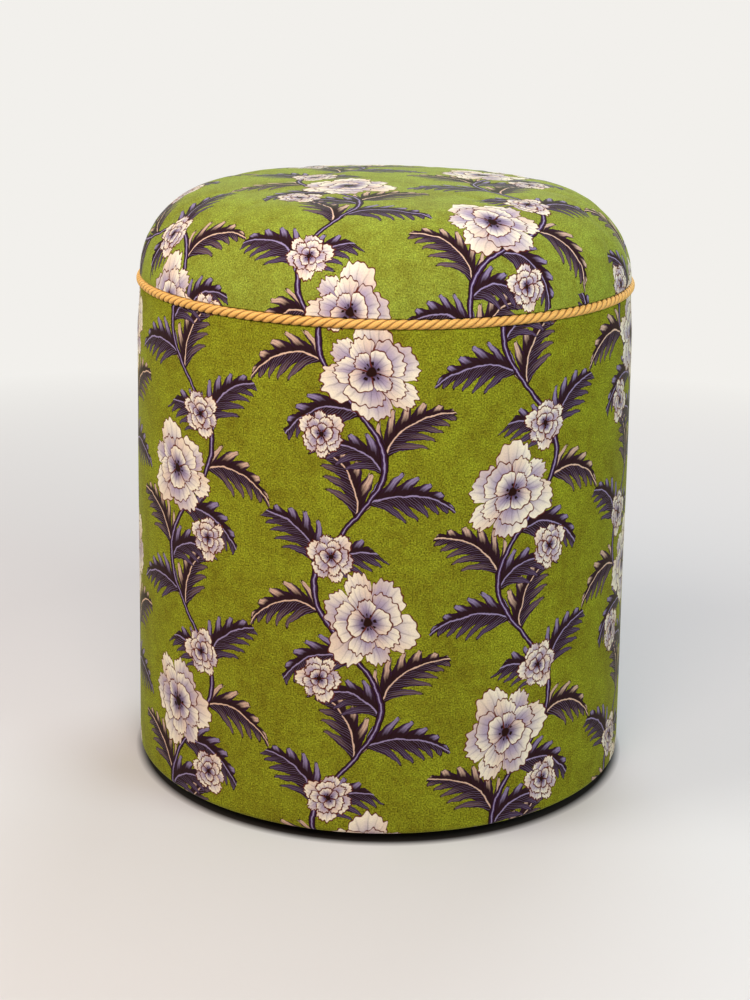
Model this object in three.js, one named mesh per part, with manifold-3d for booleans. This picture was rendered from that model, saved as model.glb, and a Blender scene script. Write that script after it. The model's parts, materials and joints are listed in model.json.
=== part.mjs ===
// Round upholstered tuffet: a padded dome on a straight drum, with a cord laid in the joint between them.
// Millimetres, +Z up, the front towards -Y, the origin on the floor under the middle.

import * as THREE from "three";
import { mergeVertices } from "three/addons/utils/BufferGeometryUtils.js";
import Module from "manifold-3d";

const wasm = await Module();
wasm.setup();

// Drum: two round boards, upright battens, a bent plywood skin
const boardDiameter = 352;
const boardThickness = 15;
const drumHeight = 376;
const skinThickness = 4;
const skinSeamWidth = 1.2;
const battenCount = 6;
const battenWidth = 38;
const battenDepth = 18;
const hoopWidth = 32;
const hoopThickness = 12;
const hoopHeightShare = 0.52;

// Padding
const wrapFoamThickness = 8;
const wrapSeamWidth = 0.8;
const waddingThickness = 6;
const crownPadDiameter = 240;
const crownPadHeight = 12;

// Covers and the joint between them
const coverThickness = 1.2;
const shoulderRadius = 68.6;
const shoulderRise = 1.9;
const crownLift = 5.6;
const seatTailDepth = 28;
const sideFoldDepth = 14;
const waistHeight = 40;
const tackStripWidth = 12;
const tackStripThickness = 1.5;
const cordDiameter = 7;
const flangeWidth = 16;
const flangeThickness = 1.2;
const flangeRise = 1.6;

// Underside
const hemWidth = 46;
const hemCornerRadius = 4;
const dustClothThickness = 0.8;
const dustClothInset = 18;
const glideDiameter = 24;
const glideHeight = 5;
const glideChamfer = 1.4;
const glideInset = 32;
const glideCount = 4;

// Countersunk wood screws that hold the boards to the battens
const screwLength = 40;
const screwDiameter = 4;
const screwHeadDiameter = 8;
const screwHeadHeight = 2.4;
const screwPointLength = 5;

// Round-headed screws that hold the glides
const glideScrewLength = 15;
const glideScrewDiameter = 3.5;
const glideScrewHeadDiameter = 8;
const glideScrewHeadHeight = 1.8;
const glideScrewHeadDepth = 2.6;

// Clearance between neighbours, and how far a cut runs past the face that it opens
const fitGap = 0.3;
const cutOverrun = 2;

// How finely round pieces are faceted
const drumSides = 48;
const cordSides = 8;
const screwSides = 8;
const glideSides = 16;
const crownSteps = 2;
const shoulderSteps = 6;
const waistStationShares = [0, 0.3, 0.6, 1];
const crownPadShares = [
  [0, 1],
  [0.55, 0.86],
  [0.88, 0.42],
  [1, 0.12],
];

// Radii of the layers, from the boards outwards
const boardRadius = boardDiameter / 2;
const skinInner = boardRadius + fitGap;
const skinOuter = skinInner + skinThickness;
const tailInner = skinOuter + fitGap;
const tailOuter = tailInner + coverThickness;
const flangeInner = tailOuter + fitGap;
const flangeOuter = flangeInner + flangeThickness;
const foldInner = flangeOuter + fitGap;
const foldOuter = foldInner + coverThickness;
const tackInner = foldOuter + fitGap;
const tackOuter = tackInner + tackStripThickness;
const waistRadius = tackOuter + fitGap + coverThickness;
const bodyRadius = skinOuter + fitGap + wrapFoamThickness + fitGap + coverThickness;
const cordRadius = cordDiameter / 2;
const cordRingRadius = flangeOuter + fitGap + cordRadius;
const cordClearance = cordRadius + fitGap;

// Heights of the layers, from the floor upwards
const dustLow = glideHeight + fitGap;
const dustHigh = dustLow + dustClothThickness;
const hemLow = dustHigh + fitGap;
const hemHigh = hemLow + coverThickness;
const baseLow = hemHigh + fitGap;
const hemCornerHigh = hemLow + hemCornerRadius;
const baseHigh = baseLow + boardThickness;
const topHigh = baseLow + drumHeight;
const topLow = topHigh - boardThickness;
const cordHeight = topHigh - boardThickness / 2;
const sideCoverTop = cordHeight - cordClearance;
const sideFoldLow = sideCoverTop - sideFoldDepth;
const wrapTop = sideFoldLow - fitGap;
const seatTailLow = cordHeight - seatTailDepth;
const flangeHigh = cordHeight + flangeRise;
const glideScrewLow = glideScrewHeadDepth - glideScrewHeadHeight;

// Dome outline: a shoulder arc that runs into a shallow crown arc
const domeRadius = skinOuter + fitGap + waddingThickness + fitGap + coverThickness;
const shoulderCentre = new THREE.Vector2(domeRadius - shoulderRadius, cordHeight + shoulderRise);
const domeRise = shoulderRadius + crownLift;
const crownRadius = (shoulderCentre.x ** 2 + domeRise ** 2 - shoulderRadius ** 2) / (2 * crownLift);
const crownCentre = new THREE.Vector2(0, shoulderCentre.y + domeRise - crownRadius);
const meetAngle = Math.atan2(shoulderCentre.y - crownCentre.y, shoulderCentre.x);
const waddingDepth = coverThickness + fitGap;
const foamDepth = waddingDepth + waddingThickness + fitGap;
const foldHigh = cordHeight + cordClearance + coverThickness;

// The skin stops level with the seat cover's fold, so that the wadding rolls in over its edge.
const skinHigh = foldHigh;

// Finishes
const finish = (colour, roughness, metalness = 0) =>
  new THREE.MeshStandardMaterial({ color: colour, roughness, metalness });

const plywood = finish(0xc9a877, 0.7);
const softwood = finish(0xd8bd8c, 0.75);
const foam = finish(0xe9e2c4, 0.95);
const wadding = finish(0xf2f0ea, 1);
const velvet = finish(0x86902f, 0.9);
const cordYarn = finish(0xdca653, 0.6);
const tape = finish(0xd9c39a, 0.9);
const card = finish(0xa98f6b, 0.85);
const dustCloth = finish(0x1c1c1d, 0.95);
const nylon = finish(0x2a2a2b, 0.5);
const zincSteel = finish(0xb9bcc0, 0.35, 1);

// Outline helpers
const point = (radius, height) => new THREE.Vector2(radius, height);

function arcPoint(centre, radius, angle) {
  return point(centre.x + radius * Math.cos(angle), centre.y + radius * Math.sin(angle));
}

function arcPoints(centre, radius, from, to, steps) {
  const stations = Array.from({ length: steps + 1 }, (_, step) => step / steps);
  return stations.map((share) => arcPoint(centre, radius, from + share * (to - from)));
}

// Turns a closed outline, or one that starts and ends on the axis, about the vertical axis.
function revolve(outline, sides = drumSides) {
  const onAxis = outline[0].x === 0 && outline.at(-1).x === 0;
  const ring = onAxis ? [...outline] : [...outline, outline[0].clone()];
  if (THREE.ShapeUtils.area(outline) < 0) {
    ring.reverse();
  }
  return new THREE.LatheGeometry(ring, sides).rotateX(Math.PI / 2);
}

// The dome's outline at a depth under its outer face, from the top of the axis down to a height.
function domeOutline(depth, low) {
  const shoulder = shoulderRadius - depth;
  const crown = arcPoints(crownCentre, crownRadius - depth, Math.PI / 2, meetAngle, crownSteps);
  const side = arcPoints(shoulderCentre, shoulder, meetAngle, 0, shoulderSteps).slice(1, -1);
  const drop = Math.asin((low - shoulderCentre.y) / shoulder);
  crown[0].x = 0;
  return [...crown, ...side, arcPoint(shoulderCentre, shoulder, drop)];
}

// The side wall's radius: full below, drawn in to the waist under the cord.
function wallRadius(height) {
  const share = THREE.MathUtils.clamp((sideCoverTop - height) / waistHeight, 0, 1);
  return waistRadius + (bodyRadius - waistRadius) * (0.5 - 0.5 * Math.cos(Math.PI * share));
}

// The side wall's outline at a depth under its outer face, from a height up to a higher one.
function wallOutline(depth, low, high) {
  const stations = waistStationShares
    .map((share) => sideCoverTop - waistHeight * (1 - share))
    .filter((height) => height < high);
  return [low, ...stations, high].map((height) => point(wallRadius(height) - depth, height));
}

// The rounded bottom edge of the side wall at a depth under its outer face, from below up.
function hemCorner(depth) {
  const centre = point(bodyRadius - hemCornerRadius, hemCornerHigh);
  return arcPoints(centre, hemCornerRadius - depth, -Math.PI / 2, 0, 2);
}

function bandOutline(inner, outer, low, high) {
  return [point(inner, low), point(outer, low), point(outer, high), point(inner, high)];
}

function discOutline(radius, low, high) {
  return [point(0, low), point(radius, low), point(radius, high), point(0, high)];
}

// Solids: joins and cuts
function solidOf(geometry) {
  const bare = geometry.clone();
  bare.deleteAttribute("normal");
  bare.deleteAttribute("uv");
  const merged = mergeVertices(bare);
  const corners = [...merged.index.array];
  const faces = [];
  for (let start = 0; start < corners.length; start += 3) {
    const [a, b, c] = corners.slice(start, start + 3);
    if (a !== b && b !== c && c !== a) {
      faces.push(a, b, c);
    }
  }
  const mesh = new wasm.Mesh({
    numProp: 3,
    vertProperties: Float32Array.from(merged.attributes.position.array),
    triVerts: Uint32Array.from(faces),
  });
  return new wasm.Manifold(mesh);
}

function geometryOf(solid) {
  const mesh = solid.getMesh();
  const geometry = new THREE.BufferGeometry();
  geometry.setAttribute("position", new THREE.BufferAttribute(mesh.vertProperties, 3));
  geometry.setIndex(new THREE.BufferAttribute(mesh.triVerts, 1));
  geometry.computeVertexNormals();
  return geometry;
}

function cut(geometry, cutters) {
  return geometryOf(cutters.reduce((body, cutter) => body.subtract(solidOf(cutter)), solidOf(geometry)));
}

// Assembly
const tuffet = new THREE.Group();
tuffet.name = "tuffet";

function add(name, geometry, material, place = new THREE.Matrix4()) {
  const mesh = new THREE.Mesh(geometry, material);
  mesh.name = name;
  mesh.applyMatrix4(place);
  tuffet.add(mesh);
}

const turned = (angle) => new THREE.Matrix4().makeRotationZ(angle);
const moved = (x, y, z) => new THREE.Matrix4().makeTranslation(x, y, z);
const flipped = new THREE.Matrix4().makeRotationX(Math.PI);
const chain = (...steps) => steps.reduce((whole, step) => whole.multiply(step), new THREE.Matrix4());
const placed = (geometry, place) => geometry.clone().applyMatrix4(place);

// Countersunk screw standing on its head at height zero, point up. A grown one is the hole that it needs.
function woodScrew(grow = 0, headOverrun = 0) {
  const head = screwHeadDiameter / 2 + grow;
  const shank = screwDiameter / 2 + grow;
  const rim = headOverrun > 0 ? [point(0, -headOverrun), point(head, -headOverrun)] : [point(0, 0)];
  return revolve(
    [
      ...rim,
      point(head, 0),
      point(shank, screwHeadHeight + grow),
      point(shank, screwLength - screwPointLength),
      point(0, screwLength + grow),
    ],
    screwSides,
  );
}

// Round-headed screw standing on its head at height zero, point up.
function glideScrew() {
  const head = glideScrewHeadDiameter / 2;
  const shank = glideScrewDiameter / 2;
  return revolve(
    [
      point(0, 0),
      point(head - glideScrewHeadHeight / 2, 0),
      point(head, glideScrewHeadHeight / 2),
      point(head, glideScrewHeadHeight),
      point(shank, glideScrewHeadHeight),
      point(shank, glideScrewLength - glideScrewDiameter),
      point(0, glideScrewLength),
    ],
    screwSides,
  );
}

// Plain hole for a glide screw, from below the cloth up to the screw's point.
function glideScrewHole() {
  const radius = glideScrewDiameter / 2 + fitGap;
  return revolve(discOutline(radius, glideHeight, glideScrewLow + glideScrewLength + fitGap), screwSides);
}

// Places round the drum
const anglesRound = (count, first) =>
  Array.from({ length: count }, (_, i) => first + (i * 2 * Math.PI) / count);
const battenAngles = anglesRound(battenCount, Math.PI / 2);
const glideAngles = anglesRound(glideCount, Math.PI / glideCount);
const skinFlat = skinInner * Math.cos(Math.PI / drumSides);
const battenFace = Math.sqrt((skinFlat - fitGap) ** 2 - (battenWidth / 2) ** 2);
const battenMiddle = battenFace - battenDepth / 2;
const battenLength = drumHeight - 2 * boardThickness - 2 * fitGap;
const glideRingRadius = bodyRadius - glideInset;
const hoopMiddle = baseLow + drumHeight * hoopHeightShare;

const baseScrewPlaces = battenAngles.map((angle) => chain(turned(angle), moved(battenMiddle, 0, baseLow)));
const topScrewPlaces = battenAngles.map((angle) =>
  chain(turned(angle), moved(battenMiddle, 0, topHigh), flipped),
);
const glidePlaces = glideAngles.map((angle) => chain(turned(angle), moved(glideRingRadius, 0, 0)));

const woodScrewHole = woodScrew(fitGap, cutOverrun);
const baseScrewHoles = baseScrewPlaces.map((place) => placed(woodScrewHole, place));
const topScrewHoles = topScrewPlaces.map((place) => placed(woodScrewHole, place));
const glideScrewHoles = glidePlaces.map((place) => placed(glideScrewHole(), place));

// Drum
function buildDrum() {
  const baseBoard = revolve(discOutline(boardRadius, baseLow, baseHigh));
  const topBoard = revolve(discOutline(boardRadius, topLow, topHigh));
  add("base_board", cut(baseBoard, [...baseScrewHoles, ...glideScrewHoles]), plywood);
  add("top_board", cut(topBoard, topScrewHoles), plywood);

  battenAngles.forEach((angle, i) => {
    const place = chain(turned(angle), moved(battenMiddle, 0, baseHigh + fitGap + battenLength / 2));
    const batten = placed(new THREE.BoxGeometry(battenDepth, battenWidth, battenLength), place);
    add(`batten_${i + 1}`, cut(batten, [baseScrewHoles[i], topScrewHoles[i]]), softwood);
  });

  const hoop = revolve(
    bandOutline(
      boardRadius - hoopWidth,
      boardRadius,
      hoopMiddle - hoopThickness / 2,
      hoopMiddle + hoopThickness / 2,
    ),
  );
  const notch = new THREE.BoxGeometry(
    battenDepth + 2 * fitGap + cutOverrun,
    battenWidth + 2 * fitGap,
    hoopThickness + 2 * cutOverrun,
  );
  const notchMiddle = battenMiddle + cutOverrun / 2;
  const notchPlace = moved(notchMiddle, 0, hoopMiddle);
  const notches = battenAngles.map((angle) => placed(notch, chain(turned(angle), notchPlace)));
  add("mid_hoop", cut(hoop, notches), plywood);

  const skin = revolve(bandOutline(skinInner, skinOuter, baseLow, skinHigh));
  add("drum_skin", cut(skin, [seamCutter(skinSeamWidth)]), plywood);
}

// Upright slot at the back, where a sheet bent round the drum butts against itself.
function seamCutter(width) {
  const slot = new THREE.BoxGeometry(width, bodyRadius, drumHeight + 2 * cutOverrun);
  return placed(slot, moved(0, bodyRadius, baseLow + drumHeight / 2));
}

// Padding
function crownPadOutline(grow) {
  const radius = crownPadDiameter / 2 + grow;
  const height = crownPadHeight + grow;
  const foot = topHigh + fitGap;
  return crownPadShares.map(([across, up]) => point(radius * across, foot + height * up));
}

function buildPadding() {
  const foot = topHigh + fitGap;
  const padTop = crownPadOutline(0);
  add("crown_pad", revolve([...padTop, point(padTop.at(-1).x, foot), point(0, foot)]), foam);

  const hollow = crownPadOutline(fitGap);
  const foamOutline = [...domeOutline(foamDepth, foot), point(hollow.at(-1).x, foot), ...hollow.reverse()];
  add("seat_foam", revolve(foamOutline), foam);

  const waddingLow = foldHigh + fitGap;
  const outer = domeOutline(waddingDepth, waddingLow);
  const inner = domeOutline(waddingDepth + waddingThickness, waddingLow);
  add("seat_wadding", revolve([...outer, ...inner.reverse()]), wadding);

  const wrapOutline = [
    ...hemCorner(coverThickness + fitGap),
    ...wallOutline(coverThickness + fitGap, hemCornerHigh, wrapTop).slice(1),
    point(flangeInner, wrapTop),
    point(flangeInner, seatTailLow - fitGap),
    point(tailInner, seatTailLow - fitGap),
    point(tailInner, baseLow),
  ];
  add("side_wrap_foam", cut(revolve(wrapOutline), [seamCutter(wrapSeamWidth)]), foam);
}

// Covers, cord and tacking strip
function buildSeatCover() {
  const cordCentre = point(cordRingRadius, cordHeight);
  const flangeTopAngle = Math.PI - Math.asin((flangeHigh + fitGap - cordHeight) / cordClearance);
  const overCord = arcPoints(cordCentre, cordClearance, Math.PI / 2, flangeTopAngle, 2);
  const outline = [
    ...domeOutline(0, cordHeight + cordClearance + coverThickness / 2),
    ...overCord,
    point(tailOuter, flangeHigh + fitGap),
    point(tailOuter, seatTailLow),
    point(tailInner, seatTailLow),
    point(tailInner, foldHigh),
    ...domeOutline(coverThickness, foldHigh).reverse(),
  ];
  add("seat_cover", revolve(outline), velvet);
}

function buildSideCover() {
  const topLip = sideCoverTop - coverThickness;
  const hemEdge = bodyRadius - hemWidth;
  const outline = [
    point(hemEdge, hemLow),
    ...hemCorner(0),
    ...wallOutline(0, hemCornerHigh, topLip).slice(1),
    point(waistRadius - coverThickness, sideCoverTop),
    point(foldInner, sideCoverTop),
    point(foldInner, sideFoldLow),
    point(foldOuter, sideFoldLow),
    point(foldOuter, topLip),
    ...wallOutline(coverThickness, hemCornerHigh, topLip).slice(1).reverse(),
    ...hemCorner(coverThickness).reverse(),
    point(hemEdge, hemHigh),
  ];
  add("side_cover", cut(revolve(outline), glideScrewHoles), velvet);
}

function buildJoint() {
  const flangeLow = flangeHigh - flangeWidth;
  const tackHigh = sideCoverTop - coverThickness - fitGap;
  const flange = revolve(bandOutline(flangeInner, flangeOuter, flangeLow, flangeHigh));
  const tackStrip = revolve(bandOutline(tackInner, tackOuter, tackHigh - tackStripWidth, tackHigh));
  const cord = new THREE.TorusGeometry(cordRingRadius, cordRadius, cordSides, drumSides);
  add("cord_flange", flange, tape);
  add("back_tack_strip", tackStrip, card);
  add("trim_cord", cord, cordYarn, moved(0, 0, cordHeight));
}

// Underside
function buildUnderside() {
  const cloth = revolve(discOutline(bodyRadius - dustClothInset, dustLow, dustHigh));
  add("dust_cover", cut(cloth, glideScrewHoles), dustCloth);

  const radius = glideDiameter / 2;
  const headHole = glideScrewHeadDiameter / 2 + fitGap;
  const shankHole = glideScrewDiameter / 2 + fitGap;
  const seat = glideScrewHeadDepth + fitGap;
  const glide = revolve(
    [
      point(headHole, 0),
      point(radius - glideChamfer, 0),
      point(radius, glideChamfer),
      point(radius, glideHeight),
      point(shankHole, glideHeight),
      point(shankHole, seat),
      point(headHole, seat),
    ],
    glideSides,
  );
  const screw = glideScrew();
  glidePlaces.forEach((place, i) => {
    add(`glide_${i + 1}`, glide, nylon, place);
    add(`glide_screw_${i + 1}`, screw, zincSteel, chain(place, moved(0, 0, glideScrewLow)));
  });
}

// Screws
function buildBoardScrews() {
  const screw = woodScrew();
  baseScrewPlaces.forEach((place, i) => add(`screw_base_${i + 1}`, screw, zincSteel, place));
  topScrewPlaces.forEach((place, i) => add(`screw_top_${i + 1}`, screw, zincSteel, place));
}

buildDrum();
buildPadding();
buildSeatCover();
buildSideCover();
buildJoint();
buildUnderside();
buildBoardScrews();

export default tuffet;
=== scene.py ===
import json
import logging
import math
from collections.abc import Callable, Sequence
from dataclasses import dataclass, field
from enum import Enum
from itertools import pairwise

import bpy
from bpy.types import Material, Node, NodeSocket, NodeTree, Object
from mathutils import Matrix, Quaternion, Vector, noise
from mathutils.kdtree import KDTree


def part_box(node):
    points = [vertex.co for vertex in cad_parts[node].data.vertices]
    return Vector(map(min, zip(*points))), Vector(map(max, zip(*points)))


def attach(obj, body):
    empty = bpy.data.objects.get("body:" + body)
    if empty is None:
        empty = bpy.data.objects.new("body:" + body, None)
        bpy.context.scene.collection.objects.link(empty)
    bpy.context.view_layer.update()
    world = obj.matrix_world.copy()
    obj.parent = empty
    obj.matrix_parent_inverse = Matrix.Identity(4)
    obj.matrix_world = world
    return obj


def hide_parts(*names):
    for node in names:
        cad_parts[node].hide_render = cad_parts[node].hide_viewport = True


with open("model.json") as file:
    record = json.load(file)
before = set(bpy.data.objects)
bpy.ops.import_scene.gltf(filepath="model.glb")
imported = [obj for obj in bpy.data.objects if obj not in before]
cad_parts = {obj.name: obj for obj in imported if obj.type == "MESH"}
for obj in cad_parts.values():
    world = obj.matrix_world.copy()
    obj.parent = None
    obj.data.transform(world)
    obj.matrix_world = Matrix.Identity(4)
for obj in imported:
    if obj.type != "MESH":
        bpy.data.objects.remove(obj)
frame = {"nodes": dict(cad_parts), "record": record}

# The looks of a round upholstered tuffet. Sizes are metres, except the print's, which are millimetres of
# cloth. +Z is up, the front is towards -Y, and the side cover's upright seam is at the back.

log = logging.getLogger("tuffet")

Point = tuple[float, float]
Outline = list[Point]

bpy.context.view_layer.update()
MM = 0.001
SMOOTH_ANGLE = math.radians(35)
WELD = 1e-6
TURN = 2 * math.pi
GLIDES = 4
PRINT_MAP = "cloth_mm"
LAY_MAP = "lay_mm"


class Slot(Enum):
    """The material slots of the record."""

    PLYWOOD = "plywood"
    SOFTWOOD = "softwood"
    FOAM = "foam"
    WADDING = "wadding"
    VELVET = "velvet"
    CORD = "cord_yarn"
    TAPE = "tape"
    CARD = "card"
    DUST_CLOTH = "dust_cloth"
    NYLON = "nylon"
    STEEL = "zinc_steel"


# Nodes and colours


def set_up(thing: object, **settings: object) -> None:
    """Set several of a thing's own properties.

    Args:
        thing: A node, a modifier, a lamp or the like.
        settings: The properties.
    """
    for name, value in settings.items():
        setattr(thing, name, value)


def linear(colour: str) -> tuple[float, float, float, float]:
    """Turn an sRGB hex colour into the linear colour that a socket takes.

    Args:
        colour: The colour as six hex digits.

    Returns:
        Linear red, green and blue, and a full fourth channel.
    """
    shares = [int(colour[i : i + 2], 16) / 255 for i in (0, 2, 4)]
    lit = [c / 12.92 if c <= 0.04045 else ((c + 0.055) / 1.055) ** 2.4 for c in shares]
    return lit[0], lit[1], lit[2], 1.0


def fill(node: Node, inputs: dict) -> Node:
    """Fill a node's inputs with values or links.

    Args:
        node: The node.
        inputs: Socket names or numbers, each with a value, a node, a socket, a Field or a Paint.

    Returns:
        The node.
    """
    for key, value in inputs.items():
        source = getattr(value, "source", value)
        if isinstance(source, Node):
            source = source.outputs[0]
        if isinstance(source, NodeSocket):
            node.id_data.links.new(source, node.inputs[key])
        else:
            node.inputs[key].default_value = source
    return node


def add_node(tree: NodeTree, kind: str, inputs: dict | None = None, **settings: object) -> Node:
    """Add a node with its settings, and fill its inputs.

    Args:
        tree: The node tree to add to.
        kind: The node's type.
        inputs: What its inputs take.
        settings: The node's own properties.

    Returns:
        The new node.
    """
    made = tree.nodes.new(kind)
    set_up(made, **settings)
    return fill(made, inputs or {})


@dataclass(frozen=True)
class Field:
    """A number that varies over a surface, whose arithmetic adds the nodes that it needs."""

    source: NodeSocket

    def through(self, operation: str, *others: "Field | float", clamp: bool = False) -> "Field":
        """Pass this number, and any others, through one arithmetic operation.

        Args:
            operation: The operation's name.
            others: What it is combined with.
            clamp: Whether the result is kept between 0 and 1.

        Returns:
            The result.
        """
        inputs = dict(enumerate([self, *others]))
        made = add_node(self.source.id_data, "ShaderNodeMath", inputs, operation=operation, use_clamp=clamp)
        return Field(made.outputs[0])

    def __add__(self, other: "Field | float") -> "Field":
        """The sum."""
        return self.through("ADD", other)

    def __sub__(self, other: "Field | float") -> "Field":
        """The difference."""
        return self.through("SUBTRACT", other)

    def __mul__(self, other: "Field | float") -> "Field":
        """The product."""
        return self.through("MULTIPLY", other)

    def __pow__(self, other: "Field | float") -> "Field":
        """The power."""
        return self.through("POWER", other)

    def __abs__(self) -> "Field":
        """The size, without its sign."""
        return self.through("ABSOLUTE")

    def wave(self, rate: float = 1.0, start: float = 0.0) -> "Field":
        """The sine of this number times a rate, plus a start."""
        return self.through("MULTIPLY_ADD", rate, start).through("SINE")

    def around(self, middle: float, spread: float) -> "Field":
        """Turn a noise from 0 to 1 into one that is spread round a middle."""
        return self.through("MULTIPLY_ADD", spread, middle - spread / 2)

    def rest(self) -> "Field":
        """What is left of one."""
        return self.through("MULTIPLY_ADD", -1.0, 1.0)

    def above(self, level: float, soft: float) -> "Field":
        """1 where the number is above a level and 0 below it, with a soft edge."""
        return self.through("MULTIPLY_ADD", 1 / soft, 0.5 - level / soft, clamp=True)


@dataclass(frozen=True)
class Paint:
    """A colour that varies over a surface, which other colours are laid over."""

    source: object

    def under(self, colour: object, share: Field) -> "Paint":
        """Lay another colour over this one.

        Args:
            colour: The other colour, as a value, a socket or a Paint.
            share: Where the other colour shows, from 0 to 1.

        Returns:
            The colour that results.
        """
        inputs = {0: share, 6: self, 7: colour}
        made = add_node(share.source.id_data, "ShaderNodeMix", inputs, data_type="RGBA")
        return Paint(made.outputs[2])


def new_material(name: str) -> tuple[Material, NodeTree, Node]:
    """Start a material: its tree holds one Principled shader.

    Args:
        name: The material's name.

    Returns:
        The material, its tree and its shader.
    """
    material = bpy.data.materials.new(name)
    material.use_nodes = True
    tree = material.node_tree
    return material, tree, tree.nodes["Principled BSDF"]


@dataclass(frozen=True)
class Grain:
    """A noise whose grains have a real width, in millimetres, and may be longer along some axes."""

    width_mm: float
    stretch: tuple[float, float, float] = (1.0, 1.0, 1.0)
    detail: float = 2.0

    def over_object(self, tree: NodeTree) -> Field:
        """Lay the grain over the Object coordinates.

        Args:
            tree: The material's tree.

        Returns:
            The noise, about one half.
        """
        scale = [1 / (self.width_mm * MM * share) for share in self.stretch]
        place = add_node(tree, "ShaderNodeTexCoord").outputs["Object"]
        sized = add_node(tree, "ShaderNodeMapping", {"Vector": place, "Scale": scale})
        made = add_node(tree, "ShaderNodeTexNoise", {"Vector": sized, "Scale": 1.0, "Detail": self.detail})
        return Field(made.outputs[0])


# The print


@dataclass(frozen=True)
class Dyes:
    """The print's colours, as dyed into a short cotton pile."""

    ink: str = "26120F"
    plum: str = "2C1820"
    indigo: str = "381F42"
    lilac: str = "9C8FBD"
    blush: str = "E2C2B0"
    cream: str = "F7F0E0"
    sienna: str = "632A20"


DYES = Dyes()


@dataclass(frozen=True)
class Frond:
    """A leaf, bud or stalk that grows from the print's vine.

    The height is where it leaves the vine, in millimetres of cloth, and the side is 1 for the right or -1 for
    the left. It leans away from the vine and curls outwards, both in degrees.
    """

    height: float
    side: int
    length: float
    lean: float = 36
    curl: float = 55
    width_share: float = 0.27
    lobes: float = 6.0
    depth_share: float = 0.62
    light: str = DYES.lilac


@dataclass(frozen=True)
class Blossom:
    """An open flower beside the print's vine, in millimetres of cloth, with its turn in degrees."""

    height: float
    away: float
    radius: float
    turn: float = 0.0


@dataclass(frozen=True)
class PetalRing:
    """One ring of a blossom's petals. Shares are of the blossom's radius, and the turn is in degrees."""

    petals: int
    reach_share: float
    turn: float
    frill_share: float


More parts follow.
